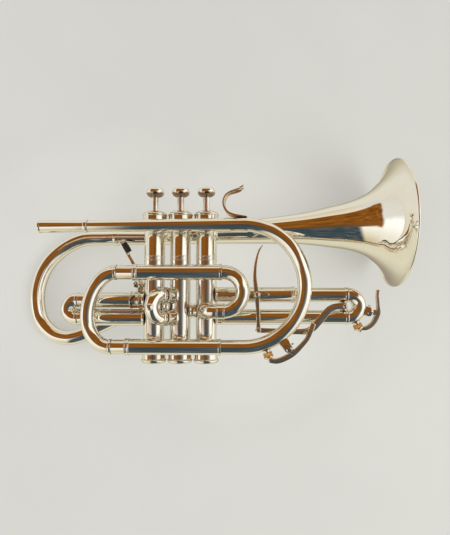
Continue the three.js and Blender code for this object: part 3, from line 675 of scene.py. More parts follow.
def tuning_tubes():
    for side, z in (("lower", LOWER_Z), ("upper", UPPER_Z)):
        node = f"tuning_sleeve_{side}"
        far, near = (corner[0] for corner in extent(node))
        collar = band((near - 1.1, FRONT_Y, z), X, SLEEVE_R, 1.1, 0.3)
        piece(f"tuning_tube_{side}", [sleeve((near, FRONT_Y, z), (far, FRONT_Y, z)), collar], node)
        node = f"tuning_leg_{side}"
        far, near = (corner[0] for corner in extent(node))
        leg = lathe([(BORE_R, far), (LEG_R, far), (LEG_R, near), (BORE_R, near)], 0.2, (0, FRONT_Y, z), X)
        piece(f"tuning_inner_{side}", [leg], node)


def tuning_bow():
    left = extent("tuning_bow")[0][0] + LEG_R
    lower_x, upper_x = (extent(f"tuning_leg_{side}")[0][0] - 0.3 for side in ("lower", "upper"))
    mid = 43.0

    def at(x, z):
        return (x, FRONT_Y, z)

    path = joined_path(
        line(at(lower_x, LOWER_Z), at(lower_x - 2, LOWER_Z)),
        bezier(at(lower_x - 2, LOWER_Z), at(lower_x - 13, LOWER_Z), at(left, mid - 15), at(left, mid)),
        bezier(at(left, mid), at(left, mid + 21), at(upper_x - 12, UPPER_Z), at(upper_x - 2, UPPER_Z)),
        line(at(upper_x - 2, UPPER_Z), at(upper_x, UPPER_Z)))
    rings = [band(at(x - 1.2, z), X, LEG_R, 1.2, 0.6) for x, z in ((lower_x, LOWER_Z), (upper_x, UPPER_Z))]
    piece("tuning_slide_bow", [tube(path, LEG_R, BORE_R)] + rings, "tuning_bow", BOW_SILVER)


def entry_bow():
    start = extent("tuning_sleeve_upper")[1][0]
    z = middle("knuckle_2_3")[2]
    bend = (UPPER_Z - z) / 2
    elbow_r = -FRONT_Y - CASING_R
    elbow_x = VALVE_X[3] + elbow_r
    a = np.radians(np.linspace(0, 90, 24))
    elbow = np.column_stack([elbow_x - elbow_r * np.sin(a), FRONT_Y + elbow_r * (1 - np.cos(a)),
                             np.full(24, z)])
    path = joined_path(
        line((start + 0.3, FRONT_Y, UPPER_Z), (start + 1, FRONT_Y, UPPER_Z)),
        arc((start + 1, UPPER_Z - bend), bend, 90, -90, FRONT_Y),
        line((start + 1, FRONT_Y, z), (elbow_x, FRONT_Y, z), 4), elbow,
        line((VALVE_X[3], -CASING_R, z), (VALVE_X[3], -CASING_R + 1.5, z)))
    ferrule = lathe([(BORE_R, 0), (6.85, 0), (7.0, 0.3), (7.0, 1.1), (6.75, 1.3), (6.75, 6.1), (7.0, 6.3),
                     (7.0, 7.1), (6.85, 7.4), (BORE_R, 7.4)], 0.15, (33.7, FRONT_Y, z), X)
    flange = lathe([(BORE_R, 0), (8.2, 0), (7.8, 1.2), (7.0, 2.2), (6.6, 2.5), (BORE_R, 2.5)], 0.3,
                   (VALVE_X[3], -CASING_R + 1.3, z), OUT_Y)
    piece("entry_bow", [tube(path, LEG_R, BORE_R), ferrule, flange], "valve_entry_bow")


receiver()
leadpipe()
tuning_tubes()
tuning_bow()
entry_bow()


def finger_hook():
    """Curled strip: a saddle foot on the leadpipe, a waisted neck and a dished, two-pronged tip."""
    centre = through([
        (60.5, FRONT_Y, 129.6), (55, FRONT_Y, 130.1), (49.5, FRONT_Y, 131.0), (44.6, FRONT_Y, 133.0),
        (41.6, FRONT_Y, 137), (40.4, FRONT_Y, 142.2), (42.0, FRONT_Y, 147.6), (46.2, FRONT_Y, 151.2),
        (51.3, FRONT_Y, 153.2), (55.5, FRONT_Y, 155.0)], 8)
    at = np.linspace(0, 1, len(centre))
    deep = np.interp(at, [0, 0.15, 0.4, 0.6, 0.8, 0.93, 1], [2.6, 3.2, 2.8, 2.8, 3.0, 3.4, 3.1])
    thick = np.interp(at, [0, 0.1, 0.3, 0.5, 0.9, 1], [0.4, 0.8, 1.25, 1.0, 0.9, 0.7])
    outlines = []
    for i, (t, d) in enumerate(zip(thick, deep)):
        outline = bar_outline(t, d, 0.5, 4)
        curl = 0.7 * max(0.0, at[i] - 0.72) / 0.28
        outline[:, 0] += curl * (outline[:, 1] / d) ** 2
        outlines.append(outline)
    solids = [swept(centre, outlines, lay=(0.2, 1, -0.2), tip=0.6)]
    for y, rise in ((-2.3, 0.9), (2.3, -0.5)):
        prong = through([(54.5, FRONT_Y + y * 0.8, 154.6 + rise * 0.8), (56.2, FRONT_Y + y, 155.4 + rise),
                         (57.6, FRONT_Y + y, 156.2 + rise)], 5)
        solids.append(swept(prong, disc_outline(0.85, 20), tip=0.7))
    saddle = swept(line((46.5, FRONT_Y, 0), (61.5, FRONT_Y, 0), 6) + np.array((0, 0, 123.0)),
                   saddle_outline(LEG_R, 0.9, 42), lay=Y)
    piece("finger_hook_strip", solids + [saddle], "finger_hook", KEY_SILVER)


def saddle_outline(radius, thick, reach):
    """A curved plate that hugs the top of a tube, as (up, across) points."""
    a = np.radians(np.linspace(-reach, reach, 17))
    outer = np.column_stack([(radius + thick) * np.cos(a), (radius + thick) * np.sin(a)])
    inner = np.column_stack([(radius - 0.1) * np.cos(a[::-1]), (radius - 0.1) * np.sin(a[::-1])])
    return np.vstack([outer, inner])


finger_hook()


# ---- bell and crook ----

BELL_TAIL_X = -36.0
BELL_RIM_X = 203.4
BELL_TAIL_Z = 116.0
BELL_RISE = 0.06
BELL_TURN = math.radians(1.5)  # the bell swings outwards about its tail
BELL_WALL = 0.7
BELL_OUTLINE = [
    (-36, 6.9), (20, 8.8), (70, 11.6), (114.7, 15.0), (140, 19.3), (154.5, 22.0), (168.5, 26.2),
    (179, 31.7), (186, 37.5), (192, 43.2), (197.3, 50.0), (200.6, 55.8), (202.2, 60.2)]


def bell_y(x):
    return BELL_Y + math.tan(BELL_TURN) * (x - BELL_TAIL_X)


def bell_z(x):
    return BELL_TAIL_Z + BELL_RISE * (x - BELL_TAIL_X)


def swung(verts):
    """Points of the bell, turned with it about its tail."""
    x, y = verts[:, 0] - BELL_TAIL_X, verts[:, 1] - BELL_Y
    c, s = math.cos(BELL_TURN), math.sin(BELL_TURN)
    return np.column_stack([BELL_TAIL_X + c * x - s * y, BELL_Y + s * x + c * y, verts[:, 2]])


def bell():
    curve = through([(x, 0, r) for x, r in BELL_OUTLINE], 10)[:, [0, 2]]
    direction = np.gradient(curve, axis=0)
    direction /= np.linalg.norm(direction, axis=1)[:, None]
    inner = curve + np.column_stack([direction[:, 1], -direction[:, 0]]) * BELL_WALL
    inner[0, 0] = curve[0, 0]
    roll = [(BELL_RIM_X - 1.2 + 1.2 * math.sin(a), 60.0 + 1.1 * math.cos(a))
            for a in np.radians(np.linspace(-40, 200, 16))]
    back = np.array([(BELL_RIM_X - 2.2, 60.5)])
    outline = np.vstack([curve[:-1], back, roll, inner[:-1][::-1]])
    profile = [(r, x) for x, r in outline]
    verts, faces = turned(profile, (0, BELL_Y, 0), X, 160)
    verts[:, 2] += bell_z(verts[:, 0])
    ring, ring_faces = lathe([
        (6.3, -0.1), (7.2, -0.1), (7.45, 0.3), (7.45, 1.2), (7.2, 1.5), (7.2, 7.5), (7.45, 7.8), (7.45, 8.7),
        (7.1, 9), (6.3, 9)], 0.15, (BELL_TAIL_X, BELL_Y, BELL_TAIL_Z), X)
    piece("bell_flare", [(swung(verts), faces), (swung(ring), ring_faces)], "bell", crease=50)


bell()

CROOK = [
    (-36.3, 19, 116), (-74, 19, 116), (-97, 19, 114.6), (-118, 19, 104), (-133.5, 19, 86.5),
    (-140.3, 19, 63), (-136.3, 19, 37.5), (-124.5, 19, 24.4), (-110.8, 19, 20.4), (-97.3, 19, 22.8),
    (-80.8, 19, 31),
    (-65, 19, 38), (-50, 19, 41.8), (-40, 18.4, 43.2), (-31, 15.6, 43.5), (-26, 11.2, 43.5),
    (-24.6, 7.0, 43.5)]


def crook():
    path = through(CROOK, 10)
    ring = band((-64, BELL_Y, BELL_TAIL_Z), X, CROOK_R, 2.6, 0.45)
    flange = lathe([(5, 0), (8.0, 0), (7.8, 0.8), (7.0, 2.0), (CROOK_R, 2.4), (5, 2.4)], 0.3,
                   CROOK[-1], np.subtract(CROOK[-2], CROOK[-1]), 48)
    piece("crook", [tube(path, CROOK_R, CROOK_BORE_R), ring, flange], "bell_bow", BOW_SILVER)


crook()


def brace(node, front, front_r, back, back_r):
    """A turned post with a flared foot on each tube."""
    front, back = np.array(front, float), np.array(back, float)
    along = unit(back - front)
    length = float(np.linalg.norm(back - front)) - front_r - back_r
    post = lathe([
        (0, -0.4), (4.2, -0.4), (3.9, 0.5), (2.4, 1.5), (1.6, 3.0), (1.5, length * 0.42),
        (2.2, length * 0.46), (2.4, length * 0.5), (2.2, length * 0.54), (1.5, length * 0.58),
        (1.6, length - 3.0), (2.4, length - 1.5), (3.9, length - 0.5), (4.2, length + 0.4),
        (0, length + 0.4)], 0.3, front + along * front_r, along, 40)
    piece(node + "_post", [post], node)


for end, height, front_r, back_r in (("rear", 122.6, 5.5, 7.7), ("front", 121.4, LEG_R, 11.6)):
    x = middle(f"leadpipe_brace_{end}")[0]
    brace(f"leadpipe_brace_{end}", (x, FRONT_Y, height), front_r, (x, bell_y(x), bell_z(x)), back_r)


# ---- valve slides ----

THIRD_BOW_X = 151.5
SECOND_OUT = np.array((-math.sin(math.radians(40)), -math.cos(math.radians(40)), 0))


def midway(heights):
    """Middle height of a slide's two legs, and half the distance between them."""
    return (heights["upper"] + heights["lower"]) / 2, (heights["upper"] - heights["lower"]) / 2


def valve_flange(place, out):
    """The soldered collar where a slide tube meets a casing."""
    return lathe([(BORE_R, 0), (7.6, 0), (7.45, 0.8), (7.15, 1.6), (6.9, 2.0), (BORE_R, 2.0)],
                 0.3, place, out)


def outer_tubes(slide, heights, edge, way):
    """The fixed tubes of a slide that leaves the casings along X; way is 1 or -1."""
    for side, z in heights.items():
        node = f"{slide}_sleeve_{side}"
        far = extent(node)[max(way, 0)][0]
        piece(f"{slide}_tube_{side}", [
            sleeve((edge - way * 0.8, 0, z), (far, 0, z), 3.0),
            valve_flange((edge - way * 0.6, 0, z), (way, 0, 0))], node)


def hairpin(heights, inner, bow, way, ring_x, swell):
    """The moving tube of a slide along X, out, round its bend and back, with a ring on each leg."""
    middle_z, bend = midway(heights)
    upper, lower = heights.values()
    path = joined_path(line((inner, 0, upper), (bow, 0, upper), 4),
                       arc((bow, middle_z), bend, 90, 90 - 180 * way, 0),
                       line((bow, 0, lower), (inner, 0, lower), 4))
    return [tube(path, LEG_R, BORE_R)] + [band((ring_x, 0, z), X, LEG_R, 1.4, swell) for z in (upper, lower)]


def first_slide():
    edge = VALVE_X[1] - CASING_R
    outer_tubes("first", FIRST_Z, edge, -1)
    middle_z, bend = midway(FIRST_Z)
    lug_x, lug_z = extent("first_slide")[0][0] + LEG_R, middle_z - 1
    bow_x = lug_x + bend
    lug = lathe([(0, 5.4), (2.6, 5.4), (2.2, 6.2), (2.2, 6.7), (1.1, 6.9), (1.1, 9.1), (0, 9.1)], 0.15,
                (lug_x, 0, lug_z), Y, 32)
    foot = through([(lug_x + 1, 0.4, middle_z + 5.2), (lug_x - 1, 1.5, middle_z + 2.5),
                    (lug_x - 0.6, 3.6, lug_z + 0.5), (lug_x, 6.0, lug_z)], 6)
    piece("first_slide_bow", hairpin(FIRST_Z, edge - 3, bow_x, -1, bow_x + 1.0, 0.5) + [
        lug, swept(foot, bar_outline(1.6, 0.7, 0.4), tip=0.5)], "first_slide")


def second_slide():
    near, far, bow = CASING_R - 0.8, 19.0, 23.6
    for side, z in SECOND_Z.items():
        start = SECOND_OUT * near + (0, 0, z)
        piece(f"second_tube_{side}", [
            sleeve(start, SECOND_OUT * far + (0, 0, z), 2.4), valve_flange(start, SECOND_OUT)],
            f"second_sleeve_{side}")
    middle_z, bend = midway(SECOND_Z)
    inner = SECOND_OUT * (near + 3)
    a = np.radians(np.linspace(90, -90, 48))
    bend_path = np.outer(bow + bend * np.cos(a), SECOND_OUT)
    bend_path[:, 2] = middle_z + bend * np.sin(a)
    path = joined_path([inner + (0, 0, SECOND_Z["upper"])], bend_path, [inner + (0, 0, SECOND_Z["lower"])])
    rings = [band(SECOND_OUT * (bow - 1.2) + (0, 0, z), SECOND_OUT, LEG_R, 1.2, 0.5)
             for z in SECOND_Z.values()]
    piece("second_slide_bow", [tube(path, LEG_R, BORE_R)] + rings, "second_slide")
    place = middle("second_slide_knob")
    place[1] = extent("second_slide_knob")[1][1]
    knob = lathe([(0, -0.6), (3.3, -0.6), (2.6, 0.3), (1.6, 1.1), (1.5, 1.7), (2.4, 2.4), (2.95, 3.4),
                  (2.6, 4.5), (1.4, 5.2), (0, 5.3)], 0.3, place, OUT_Y, 40)
    piece("second_knob", [knob], "second_slide_knob")


def third_slide():
    edge = VALVE_X[3] + CASING_R
    outer_tubes("third", THIRD_Z, edge, 1)
    bow = hairpin(THIRD_Z, edge + 14, THIRD_BOW_X, 1, THIRD_BOW_X - 1.4, 0.45)
    piece("third_slide_bow", bow, "third_slide")
    low, high = extent("third_slide_post")
    x, z = (low[0] + high[0]) / 2, midway(THIRD_Z)[0]
    foot, top = low[2], high[2]
    post = lathe([
        (0, foot - 0.6), (4.1, foot - 0.6), (4.1, foot + 0.6), (3.3, foot + 1.2), (2.9, foot + 1.5),
        (2.9, top - 1.5), (3.3, top - 1.2), (4.1, top - 0.6), (4.1, top + 0.6), (0, top + 0.6)],
        0.2, (x, 0, 0), Z, 40)
    pin = lathe([(0, -1), (2.4, -1), (2.4, 6.4), (1.15, 6.6), (1.15, 9.3), (0, 9.3)], 0.15, (x, 0, z),
                OUT_Y, 32)
    head = domed_head((x, low[1] + 0.4, z), OUT_Y, 1.8, 1.1)
    piece("third_post", [post, pin, head], "third_slide_post", KEY_SILVER)


first_slide()
second_slide()
third_slide()


# ---- triggers ----

THIRD_PIVOT = (69.5, 61.6)
FIRST_PIVOT = (-37.8, 70.6)


def third_trigger():
    x, z = THIRD_PIVOT
    plate = strip([(59.6, 61.0), (64, 61.3), (69.5, 61.5), (75, 61.6), (79.5, 61.6)],
                  [1.4, 3.2, 4.0, 3.0, 1.2], -7.85, 0.6, 0.4, tip=1.2)
    saddle = swept(line((61.5, 0, THIRD_Z["upper"]), (76.5, 0, THIRD_Z["upper"]), 6),
                   saddle_outline(SLEEVE_R, 0.8, 55), lay=Z)
    boss = lathe([(0, 7.8), (3.0, 7.8), (2.7, 8.6), (1.3, 8.7), (1.3, 11.2), (0, 11.2)], 0.15,
                 (x, 0, z), OUT_Y, 32)
    head = domed_head((x, -10.8, z), OUT_Y, 2.3, 1.5)
    piece("third_trigger_plate", [plate, saddle, boss, head], "third_trigger_bracket", KEY_SILVER)
    arm = strip(about(THIRD_PIVOT, [
        (5.2, 43.8), (2.4, 39.4), (0.8, 34.9), (-0.9, 26.8), (-1.6, 15.6), (-0.9, 7), (0, 0), (0.5, -8),
        (0.9, -16), (1.2, -26), (1.3, -31), (1.3, -33.5)]),
        [0.6, 0.95, 1.1, 1.35, 1.7, 2.1, 2.3, 1.9, 1.7, 1.8, 2.3, 1.5], -9.7, 0.85, 0.6, tip=0.5)
    hub = turned([(0, -0.95), (3.3, -0.95), (3.5, -0.6), (3.5, 0.6), (3.3, 0.95), (0, 0.95)],
                 (x, -9.7, z), Y, 40)
    ball = lathe([(0, -1.2), (1.7, -1.2), (2.4, -0.4), (2.5, 0.4), (1.9, 1.3), (0, 1.6)], 0.4,
                 (x + 1.3, -10.6, z - 31.3), OUT_Y, 32)
    piece("third_trigger_arm", [arm, hub, ball], "third_trigger_lever", KEY_SILVER)
    post_x, post_z = middle("third_slide_post")[0], midway(THIRD_Z)[0]
    rod = strip([
        (68.6, 29.9), (70.8, 29.9), (90, 29.3), (106, 28.9), (113, 29.2), (118.8, 32.0), (123.3, 36.8),
        (127.7, 41.9), (131, 45.8), (134.6, 49.2), (140, 51.2), (post_x, post_z), (post_x + 2, post_z)],
        [1.2, 2.2, 2.2, 2.4, 2.7, 3.0, 3.2, 3.2, 3.1, 2.9, 2.7, 2.6, 1.7], -7.7, 0.6, 0.3, tip=0.8)
    piece("third_trigger_rod", [rod], "third_trigger_link", KEY_SILVER)


def first_trigger():
    x, z = FIRST_PIVOT
    tube_z = FIRST_Z["upper"]
    clamp = lathe([
        (SLEEVE_R + 0.1, 0), (7.6, 0), (7.8, 0.4), (7.8, 1.4), (7.35, 1.8), (7.35, 7.4), (7.8, 7.8),
        (7.8, 8.8), (7.6, 9.2), (SLEEVE_R + 0.1, 9.2)], 0.2, (-45.4, 0, tube_z), X)
    post = lathe([
        (0, tube_z + 6.2), (4.4, tube_z + 6.2), (4.2, tube_z + 7.4), (2.9, tube_z + 8.6), (2.9, z - 2.8),
        (3.6, z - 2.4), (3.6, z + 1.6), (2.6, z + 2.4), (0, z + 2.5)], 0.3, (x, 3.4, 0), Z, 40)
    barrel = lathe([(0, -5), (1.9, -5), (1.9, -3.2), (1.5, -3), (1.5, 3), (1.9, 3.2), (1.9, 5), (0, 5)], 0.2,
                   (x, 0.2, z - 0.4), X, 32)
    pin = lathe([(0, 5), (2.3, 5), (2.3, 7.9), (1.25, 8.1), (1.25, 10.9), (0, 10.9)], 0.15, (x, 0, z), Y, 32)
    heads = [domed_head((x, 10.3, z), Y, 2.0, 1.2), domed_head((x + 1, -1.2, z), OUT_Y, 2.0, 1.4)]
    piece("first_trigger_clamp", [clamp, post, barrel, pin] + heads, "first_trigger_bracket", KEY_SILVER)
    arm = strip(about(FIRST_PIVOT, [
        (0, -25.4), (0, -24), (0, -12), (0, 0), (-3.3, 9), (-7.8, 19.7), (-13.4, 29.8), (-20.2, 40.8)]),
        [1.2, 2.0, 1.6, 2.2, 1.8, 1.6, 1.6, 1.2], 9.4, 0.75, 0.5, tip=0.6, lay=(-0.42, 1, -0.2))
    hub = turned([(0, 8.65), (3.0, 8.65), (3.2, 9), (3.2, 9.9), (3.0, 10.15), (0, 10.15)], (x, 0, z), Y, 40)
    saddle = strip(about(FIRST_PIVOT, [(-12.0, 29.4), (-15.2, 34.4), (-19.6, 40.4)]), [0.8, 0.9, 0.8],
                   7.4, 2.4, 0.4, tip=0.4)
    piece("first_trigger_arm", [arm, hub, saddle], "first_trigger_lever", KEY_SILVER)
    low, high = extent("first_trigger_pad")
    pad = strip(about(FIRST_PIVOT, [(-11.2, 31.2), (-13.6, 35.2), (-16.2, 38.8)]), [2.5, 2.7, 2.5],
                (low[1] + high[1]) / 2, (high[1] - low[1]) / 2, 1.0, tip=0.5)
    piece("first_trigger_rubber", [pad], "first_trigger_pad", RUBBER)
    lug_x, lug_z = extent("first_slide")[0][0] + LEG_R, midway(FIRST_Z)[0] - 1
    rod = strip([(lug_x - 2.2, lug_z), (lug_x, lug_z), (lug_x + 6, lug_z - 0.4), (x, z - 24),
                 (x + 1.5, z - 24)], [1.6, 2.4, 1.6, 1.6, 1.4], 7.6, 0.55, 0.4, tip=0.6)
    piece("first_trigger_rod", [rod], "first_trigger_link", KEY_SILVER)
    tail = through([(-40.6, -7.2, tube_z + 4.4), (-42.4, -7.9, tube_z + 2), (-43.9, -8.2, tube_z - 0.8),
                    (-43.6, -7.4, tube_z - 3.8), (-43.2, -5.2, tube_z - 6.2)], 8)
    hook = through([
        (-42.4, -1.2, z + 1.0), (-41.0, -1.4, z + 2.6), (-39.6, -1.4, z + 2.2), (-40.4, -1.4, z + 0.4),
        (-41.4, -1.4, z - 1.0), (-40.2, -1.6, z - 2.2), (-38.4, -1.4, z - 1.2)], 6)
    wires = [swept(path, disc_outline(0.42, 14), tip=0.4) for path in (tail, hook)]
    piece("first_trigger_spring", wires, material=DARK_WIRE, body="root")


third_trigger()
first_trigger()


# ---- water keys ----

def water_key(number, centre, bend, y, saddle_angle, seat_angle, pivot_out, points, half_widths, body):
    """Saddle, spring, lever, cork and seat of a key on the outside of a bend; body carries the saddle."""
    out = heading(saddle_angle)
    around = np.array((-out[2], 0, out[0]))
    origin = np.array((centre[0], y, centre[1]), float)
    pivot = origin + out * (bend + pivot_out)
    foot = origin + out * (bend + LEG_R - 0.4)
    solids = []
    for side in (-3.6, 3.6):
        ear = joined_path([foot + (0, side * 0.8, 0), foot + out * 3 + (0, side, 0), pivot + (0, side, 0),
                           pivot + out * 1.6 + (0, side, 0)])
        solids.append(swept(ear, [bar_outline(w, 0.8, 0.75) for w in (4.4, 4.2, 4.1, 3.1)], lay=Y, tip=0.9))
    plate = [(foot - around * 3.4)[[0, 2]], foot[[0, 2]] + out[[0, 2]] * 0.5, (foot + around * 3.4)[[0, 2]]]
    solids.append(strip(plate, [0.7, 0.9, 0.7], y, 3.6, 0.5, tip=0.6))
    solids.append(turned([(0, -4.6), (0.95, -4.6), (0.95, 4.6), (0, 4.6)], pivot, Y, 24))
    solids += slotted_head(pivot + (0, -4.2, 0), OUT_Y, 2.5, 1.1)
    solids += slotted_head(pivot + (0, 4.2, 0), Y, 2.0, 0.9)
    piece(f"water_key_ears_{number}", solids, f"water_key_saddle_{number}", KEY_SILVER)
    coil = []
    for side in (-1, 1):
        turns = np.linspace(0, 5 * math.pi, 70)
        ring = np.array([pivot + (0, side * (2.3 + 0.18 * t / math.pi), 0)
                         + out * 2.35 * math.cos(t) + around * 2.35 * math.sin(t) for t in turns])
        leg = line(ring[-1], pivot + around * 6 - out * 1.2 + (0, side * 2.6, 0), 4)
        coil.append(swept(joined_path(ring, leg), disc_outline(0.32, 12), tip=0.3))
    piece(f"water_key_spring_{number}", coil, material=STEEL, body=body)
    lever = strip(points, half_widths, y, [1.9] + [2.3] * (len(points) - 3) + [2.1, 1.6], 0.5, tip=0.8)
    near = min(points, key=lambda p: math.hypot(p[0] - pivot[0], p[1] - pivot[2]))
    neck = swept(line(pivot, (near[0], y, near[1]), 2), bar_outline(2.3, 2.4, 0.5), lay=Y)
    barrel = lathe([(0, -2.5), (2.0, -2.5), (2.0, -1.2), (1.8, -1.0), (1.8, 1.0), (2.0, 1.2), (2.0, 2.5),
                    (0, 2.5)], 0.15, pivot, Y, 40)
    away = heading(seat_angle)
    surface = origin + away * (bend + LEG_R)
    top = surface + away * 5.1
    cup = lathe([(0, 0), (4.3, 0), (4.6, 0.5), (4.3, 1.2), (3.2, 2.1), (1.4, 2.7), (0, 2.8)], 0.3,
                top, away, 48)
    knob = lathe([(0, 2.7), (1.6, 2.7), (1.4, 3.2), (1.8, 3.7), (1.7, 4.2), (0.9, 4.6), (0, 4.7)], 0.2,
                 top, away, 28)
    piece(f"water_key_arm_{number}", [lever, neck, barrel, cup, knob], f"water_key_lever_{number}",
          KEY_SILVER)
    pad = lathe([(0, 0), (3.8, 0), (4.0, 0.3), (3.9, 3.1), (0, 3.1)], 0.2, surface + away * 2.0, away, 40)
    piece(f"water_key_pad_{number}", [pad], f"water_key_cork_{number}", CORK)
    seat = lathe([(1.5, 0), (3.9, 0), (3.6, 0.9), (2.8, 1.2), (2.8, 1.7), (3.1, 1.9), (3.1, 2.5),
                  (1.5, 2.5)], 0.2, surface - away * 0.6, away, 40)
    piece(f"water_nipple_{number}", [seat], body=body)


THIRD_MIDDLE_Z, THIRD_BEND = midway(THIRD_Z)
water_key(1, LOOP, LOOP_R, FRONT_Y, -54.5, -70.4, 13.6,
          [(79.5, 4.9), (86.3, 4.6), (94, 7.4), (100.9, 11.6), (107.8, 18.3), (112.7, 24.3), (115.6, 31.1),
           (117.6, 36.4)], [1.9, 2.2, 2.3, 2.2, 1.9, 1.8, 2.2, 2.0], "root")
water_key(2, (THIRD_BOW_X, THIRD_MIDDLE_Z), THIRD_BEND, 0, -16, -64.4, 9.6,
          [(162.4, 31.0), (167.1, 31.5), (171.2, 33.6), (174.2, 36.6), (176.4, 40.4), (178.6, 45.4),
           (178.5, 52.3), (178.3, 59.0), (178.9, 65.2)],
          [1.4, 1.7, 1.9, 2.0, 2.2, 1.9, 1.3, 1.4, 1.6], "third_valve_slide")


# ---- table, light and camera ----

LOOP_GLOW = (62, 37, 72)  # places on the table where the plate throws light back
CROOK_GLOW = (-70, 29, 88)


def table_material():
    """Pale painted table top, lit a little by the plate above it. Seen from behind it is clear."""
    nodes, place = new_material("table_top")
    glow = 0.222
    for centre, gain in ((LOOP_GLOW, 0.20), (CROOK_GLOW, 0.12)):
        away = nodes.vector("DISTANCE", place, tuple(c * MM for c in centre))["Value"]
        glow = nodes.plus(nodes.span(away, 0.02, 0.15, gain, 0.0), glow)
    nodes.shade(Base_Color=nodes.ramp(nodes.noise(place, 5, 5, 0.6), (0.3, 0.452, 0.452, 0.43),
                                      (0.7, 0.482, 0.485, 0.462)),
                Roughness=0.5, Emission_Color=(0.985, 0.985, 0.93), Emission_Strength=glow,
                Normal=nodes.bump(nodes.noise(place, 60, 5, 0.6), 0.05, 0.001))
    # painted reflection: glossy rays see the table as a fixed darker, warmer emission instead of its lit
    # surface, standing in for the shade near the instrument
    incoming = nodes.add("SeparateXYZ", nodes.geometry("Incoming")).outputs
    square = nodes.maths("ABSOLUTE", incoming["Y"])
    far = nodes.ramp(nodes.span(incoming["Z"], -0.3, 0.3, 0.0, 1.0), (0.0, 0.80, 0.77, 0.68),
                     (1.0, 0.74, 0.69, 0.50))
    near = nodes.ramp(square, (0.72, 0.60, 0.54, 0.38), (0.88, 0.34, 0.28, 0.18), (0.97, 0.20, 0.14, 0.08))
    dim = nodes.add("Emission", nodes.blend(nodes.span(square, 0.5, 0.75, 0.0, 1.0), far, near), 1.0)
    mirrored = nodes.mix(nodes.times(nodes.ray("Glossy"), 0.7), nodes.shader.outputs["BSDF"],
                         dim.outputs["Emission"])
    away = nodes.vector("LENGTH", place)["Value"]
    faded = nodes.times(nodes.span(away, 0.45, 1.3, 0.0, 1.0), nodes.ray("Camera"))
    clear = nodes.add("BsdfTransparent").outputs["BSDF"]
    unseen = nodes.maths("MAXIMUM", nodes.geometry("Backfacing"), faded)
    nodes.fill(nodes.surface, nodes.mix(unseen, mirrored, clear))
    return nodes.owner


def table():
    """The plane the instrument lies on, touching the back of the crook and of the bell's rim."""
    crook_back = extent("bell_bow")
    near = np.array((crook_back[0][0] + CROOK_R, crook_back[1][1] + TABLE_GAP))
    far = np.array((BELL_RIM_X, extent("bell")[1][1] + TABLE_GAP))
    along = unit(far - near)
    centre = (near + far) / 2
    reach = 2500.0
    a, b = centre - along * reach, centre + along * reach
    corners = [(a[0], a[1], -reach), (b[0], b[1], -reach), (b[0], b[1], reach), (a[0], a[1], reach)]
    mesh = bpy.data.meshes.new("table_top")
    mesh.from_pydata([tuple(c * MM for c in corner) for corner in corners], [], [(0, 1, 2, 3)])
    mesh.materials.append(table_material())
    obj = bpy.data.objects.new("table_top", mesh)
    bpy.context.scene.collection.objects.link(obj)


table()


def area_light(name, place, target, size, power, colour):
    data = bpy.data.lights.new(name, "AREA")
    data.shape = "RECTANGLE"
    data.size, data.size_y = size
    data.energy = power
    data.color = colour
    obj = bpy.data.objects.new(name, data)
    obj.location = Vector(place) * MM
    obj.rotation_euler = (Vector(target) * MM - obj.location).to_track_quat("-Z", "Y").to_euler()
    bpy.context.scene.collection.objects.link(obj)
    obj.visible_camera = False
    obj.visible_glossy = False
    return obj


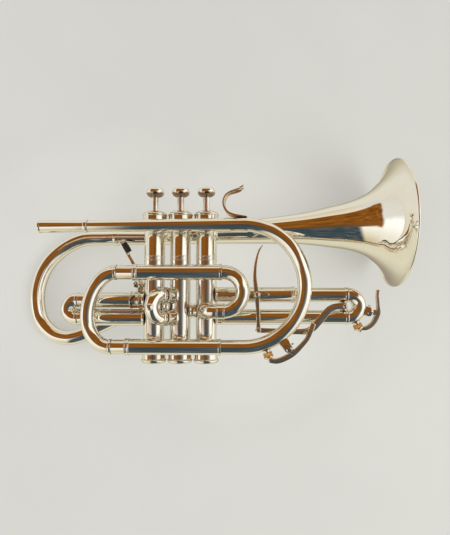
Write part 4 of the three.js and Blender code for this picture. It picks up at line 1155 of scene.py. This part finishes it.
def studio_world():
    """Soft pale room. What the plate mirrors also has a wooden brown and a slate-blue card in front."""
    nodes = Nodes(bpy.data.worlds.new("studio"))
    nodes.shade(Color=(0.93, 0.92, 0.895), Strength=0.80)
    direction = nodes.add("TexCoord").outputs["Generated"]
    x, y, z = nodes.add("SeparateXYZ", direction).outputs
    front = nodes.times(y, -1.0)
    flat = nodes.maths("SQRT", nodes.plus(nodes.times(x, x), nodes.times(y, y)))
    side = nodes.degrees("ARCTAN2", x, front)
    height = nodes.degrees("ARCTAN2", z, flat)
    height = nodes.plus(height, nodes.span(nodes.noise(direction, 3.0, 3), 0.2, 0.8, -3, 3))
    side = nodes.plus(side, nodes.span(nodes.noise(direction, 4.5, 2), 0.2, 0.8, -2, 2))
    across = nodes.degrees("ARCSINE", x)
    ahead = nodes.span(front, -0.05, 0.08, 0.0, 1.0)
    cream = nodes.ramp(
        nodes.span(height, -90, 90, 0, 1), (0.0, 0.42, 0.33, 0.17), (0.16, 0.66, 0.57, 0.38),
        (0.36, 0.92, 0.90, 0.83), (0.5, 1.15, 1.15, 1.13), (0.62, 1.08, 1.06, 0.99),
        (0.85, 0.80, 0.74, 0.59), (1.0, 0.64, 0.56, 0.40))
    blue = nodes.ramp(nodes.noise(direction, 9, 3, 0.6), (0.3, 0.022, 0.045, 0.068),
                      (0.5, 0.052, 0.078, 0.095), (0.7, 0.14, 0.138, 0.13))
    brown = nodes.ramp(nodes.noise(direction, 7, 4, 0.6), (0.3, 0.14, 0.044, 0.007),
                       (0.55, 0.26, 0.092, 0.012), (0.75, 0.36, 0.160, 0.035))
    dusk = nodes.ramp(
        nodes.span(side, -62, 52, 0, 1), (0.0, 0.26, 0.100, 0.020), (0.38, 0.22, 0.085, 0.020),
        (0.54, 0.10, 0.064, 0.036), (0.72, 0.13, 0.115, 0.10), (1.0, 0.55, 0.52, 0.47))
    dull_zone = nodes.times(nodes.window(side, -165, -50, 10), nodes.window(height, 6, 80, 6))
    blue_zone = nodes.times(nodes.window(across, -17, 35, 4), nodes.window(height, -120, 3, 2.5))
    dusk_zone = nodes.times(nodes.window(side, -58, 44, 5), nodes.window(height, -12, 8, 4))
    above = [nodes.times(nodes.maths("MAXIMUM", nodes.plus(height, -low), 0.0), slope)
             for low, slope in ((8.0, 1.5), (20.0, 0.6))]
    right_side = nodes.maths("SUBTRACT", side, above[0])
    brown_zone = nodes.times(nodes.window(right_side, -140, 20, 4), nodes.window(height, 3, 58, 2.5))
    brown_zone = nodes.times(brown_zone, nodes.window(nodes.plus(side, above[1]), -57, 85, 4))
    colour = nodes.blend(nodes.times(dull_zone, 0.85), cream, (0.69, 0.68, 0.65))
    colour = nodes.blend(nodes.times(blue_zone, ahead), colour, blue)
    colour = nodes.blend(dusk_zone, colour, dusk)
    colour = nodes.blend(brown_zone, colour, brown)
    mirrored = nodes.add("Background", colour, 1.0).outputs["Background"]
    nodes.fill(nodes.surface, nodes.mix(nodes.ray("Glossy"), nodes.shader.outputs["Background"], mirrored))
    bpy.context.scene.world = nodes.owner


studio_world()
AIM = (40.9, 0, 86.3)
area_light("soft_key", (600, -610, -130), AIM, (0.6, 0.6), 2.4, (1.0, 0.985, 0.95))
area_light("soft_fill", (-640, -520, 150), AIM, (0.45, 0.45), 1.1, (0.97, 0.985, 1.0))


def camera():
    """Looks square at the side of the instrument, from slightly right of and below the middle."""
    azimuth, elevation, distance = math.radians(1.85), math.radians(-3.5), 420.0
    back = Vector((math.sin(azimuth) * math.cos(elevation), -math.cos(azimuth) * math.cos(elevation),
                   math.sin(elevation)))
    data = bpy.data.cameras.new("camera")
    data.sensor_fit = "VERTICAL"
    data.sensor_height = 36.0
    data.lens = 30.953272
    data.clip_start = 0.01
    data.clip_end = 20
    obj = bpy.data.objects.new("camera", data)
    obj.location = (Vector(AIM) + back * distance) * MM
    obj.rotation_euler = (-back).to_track_quat("-Z", "Y").to_euler()
    scene = bpy.context.scene
    scene.collection.objects.link(obj)
    scene.camera = obj
    scene.view_settings.view_transform, scene.view_settings.look = "Standard", "None"


camera()
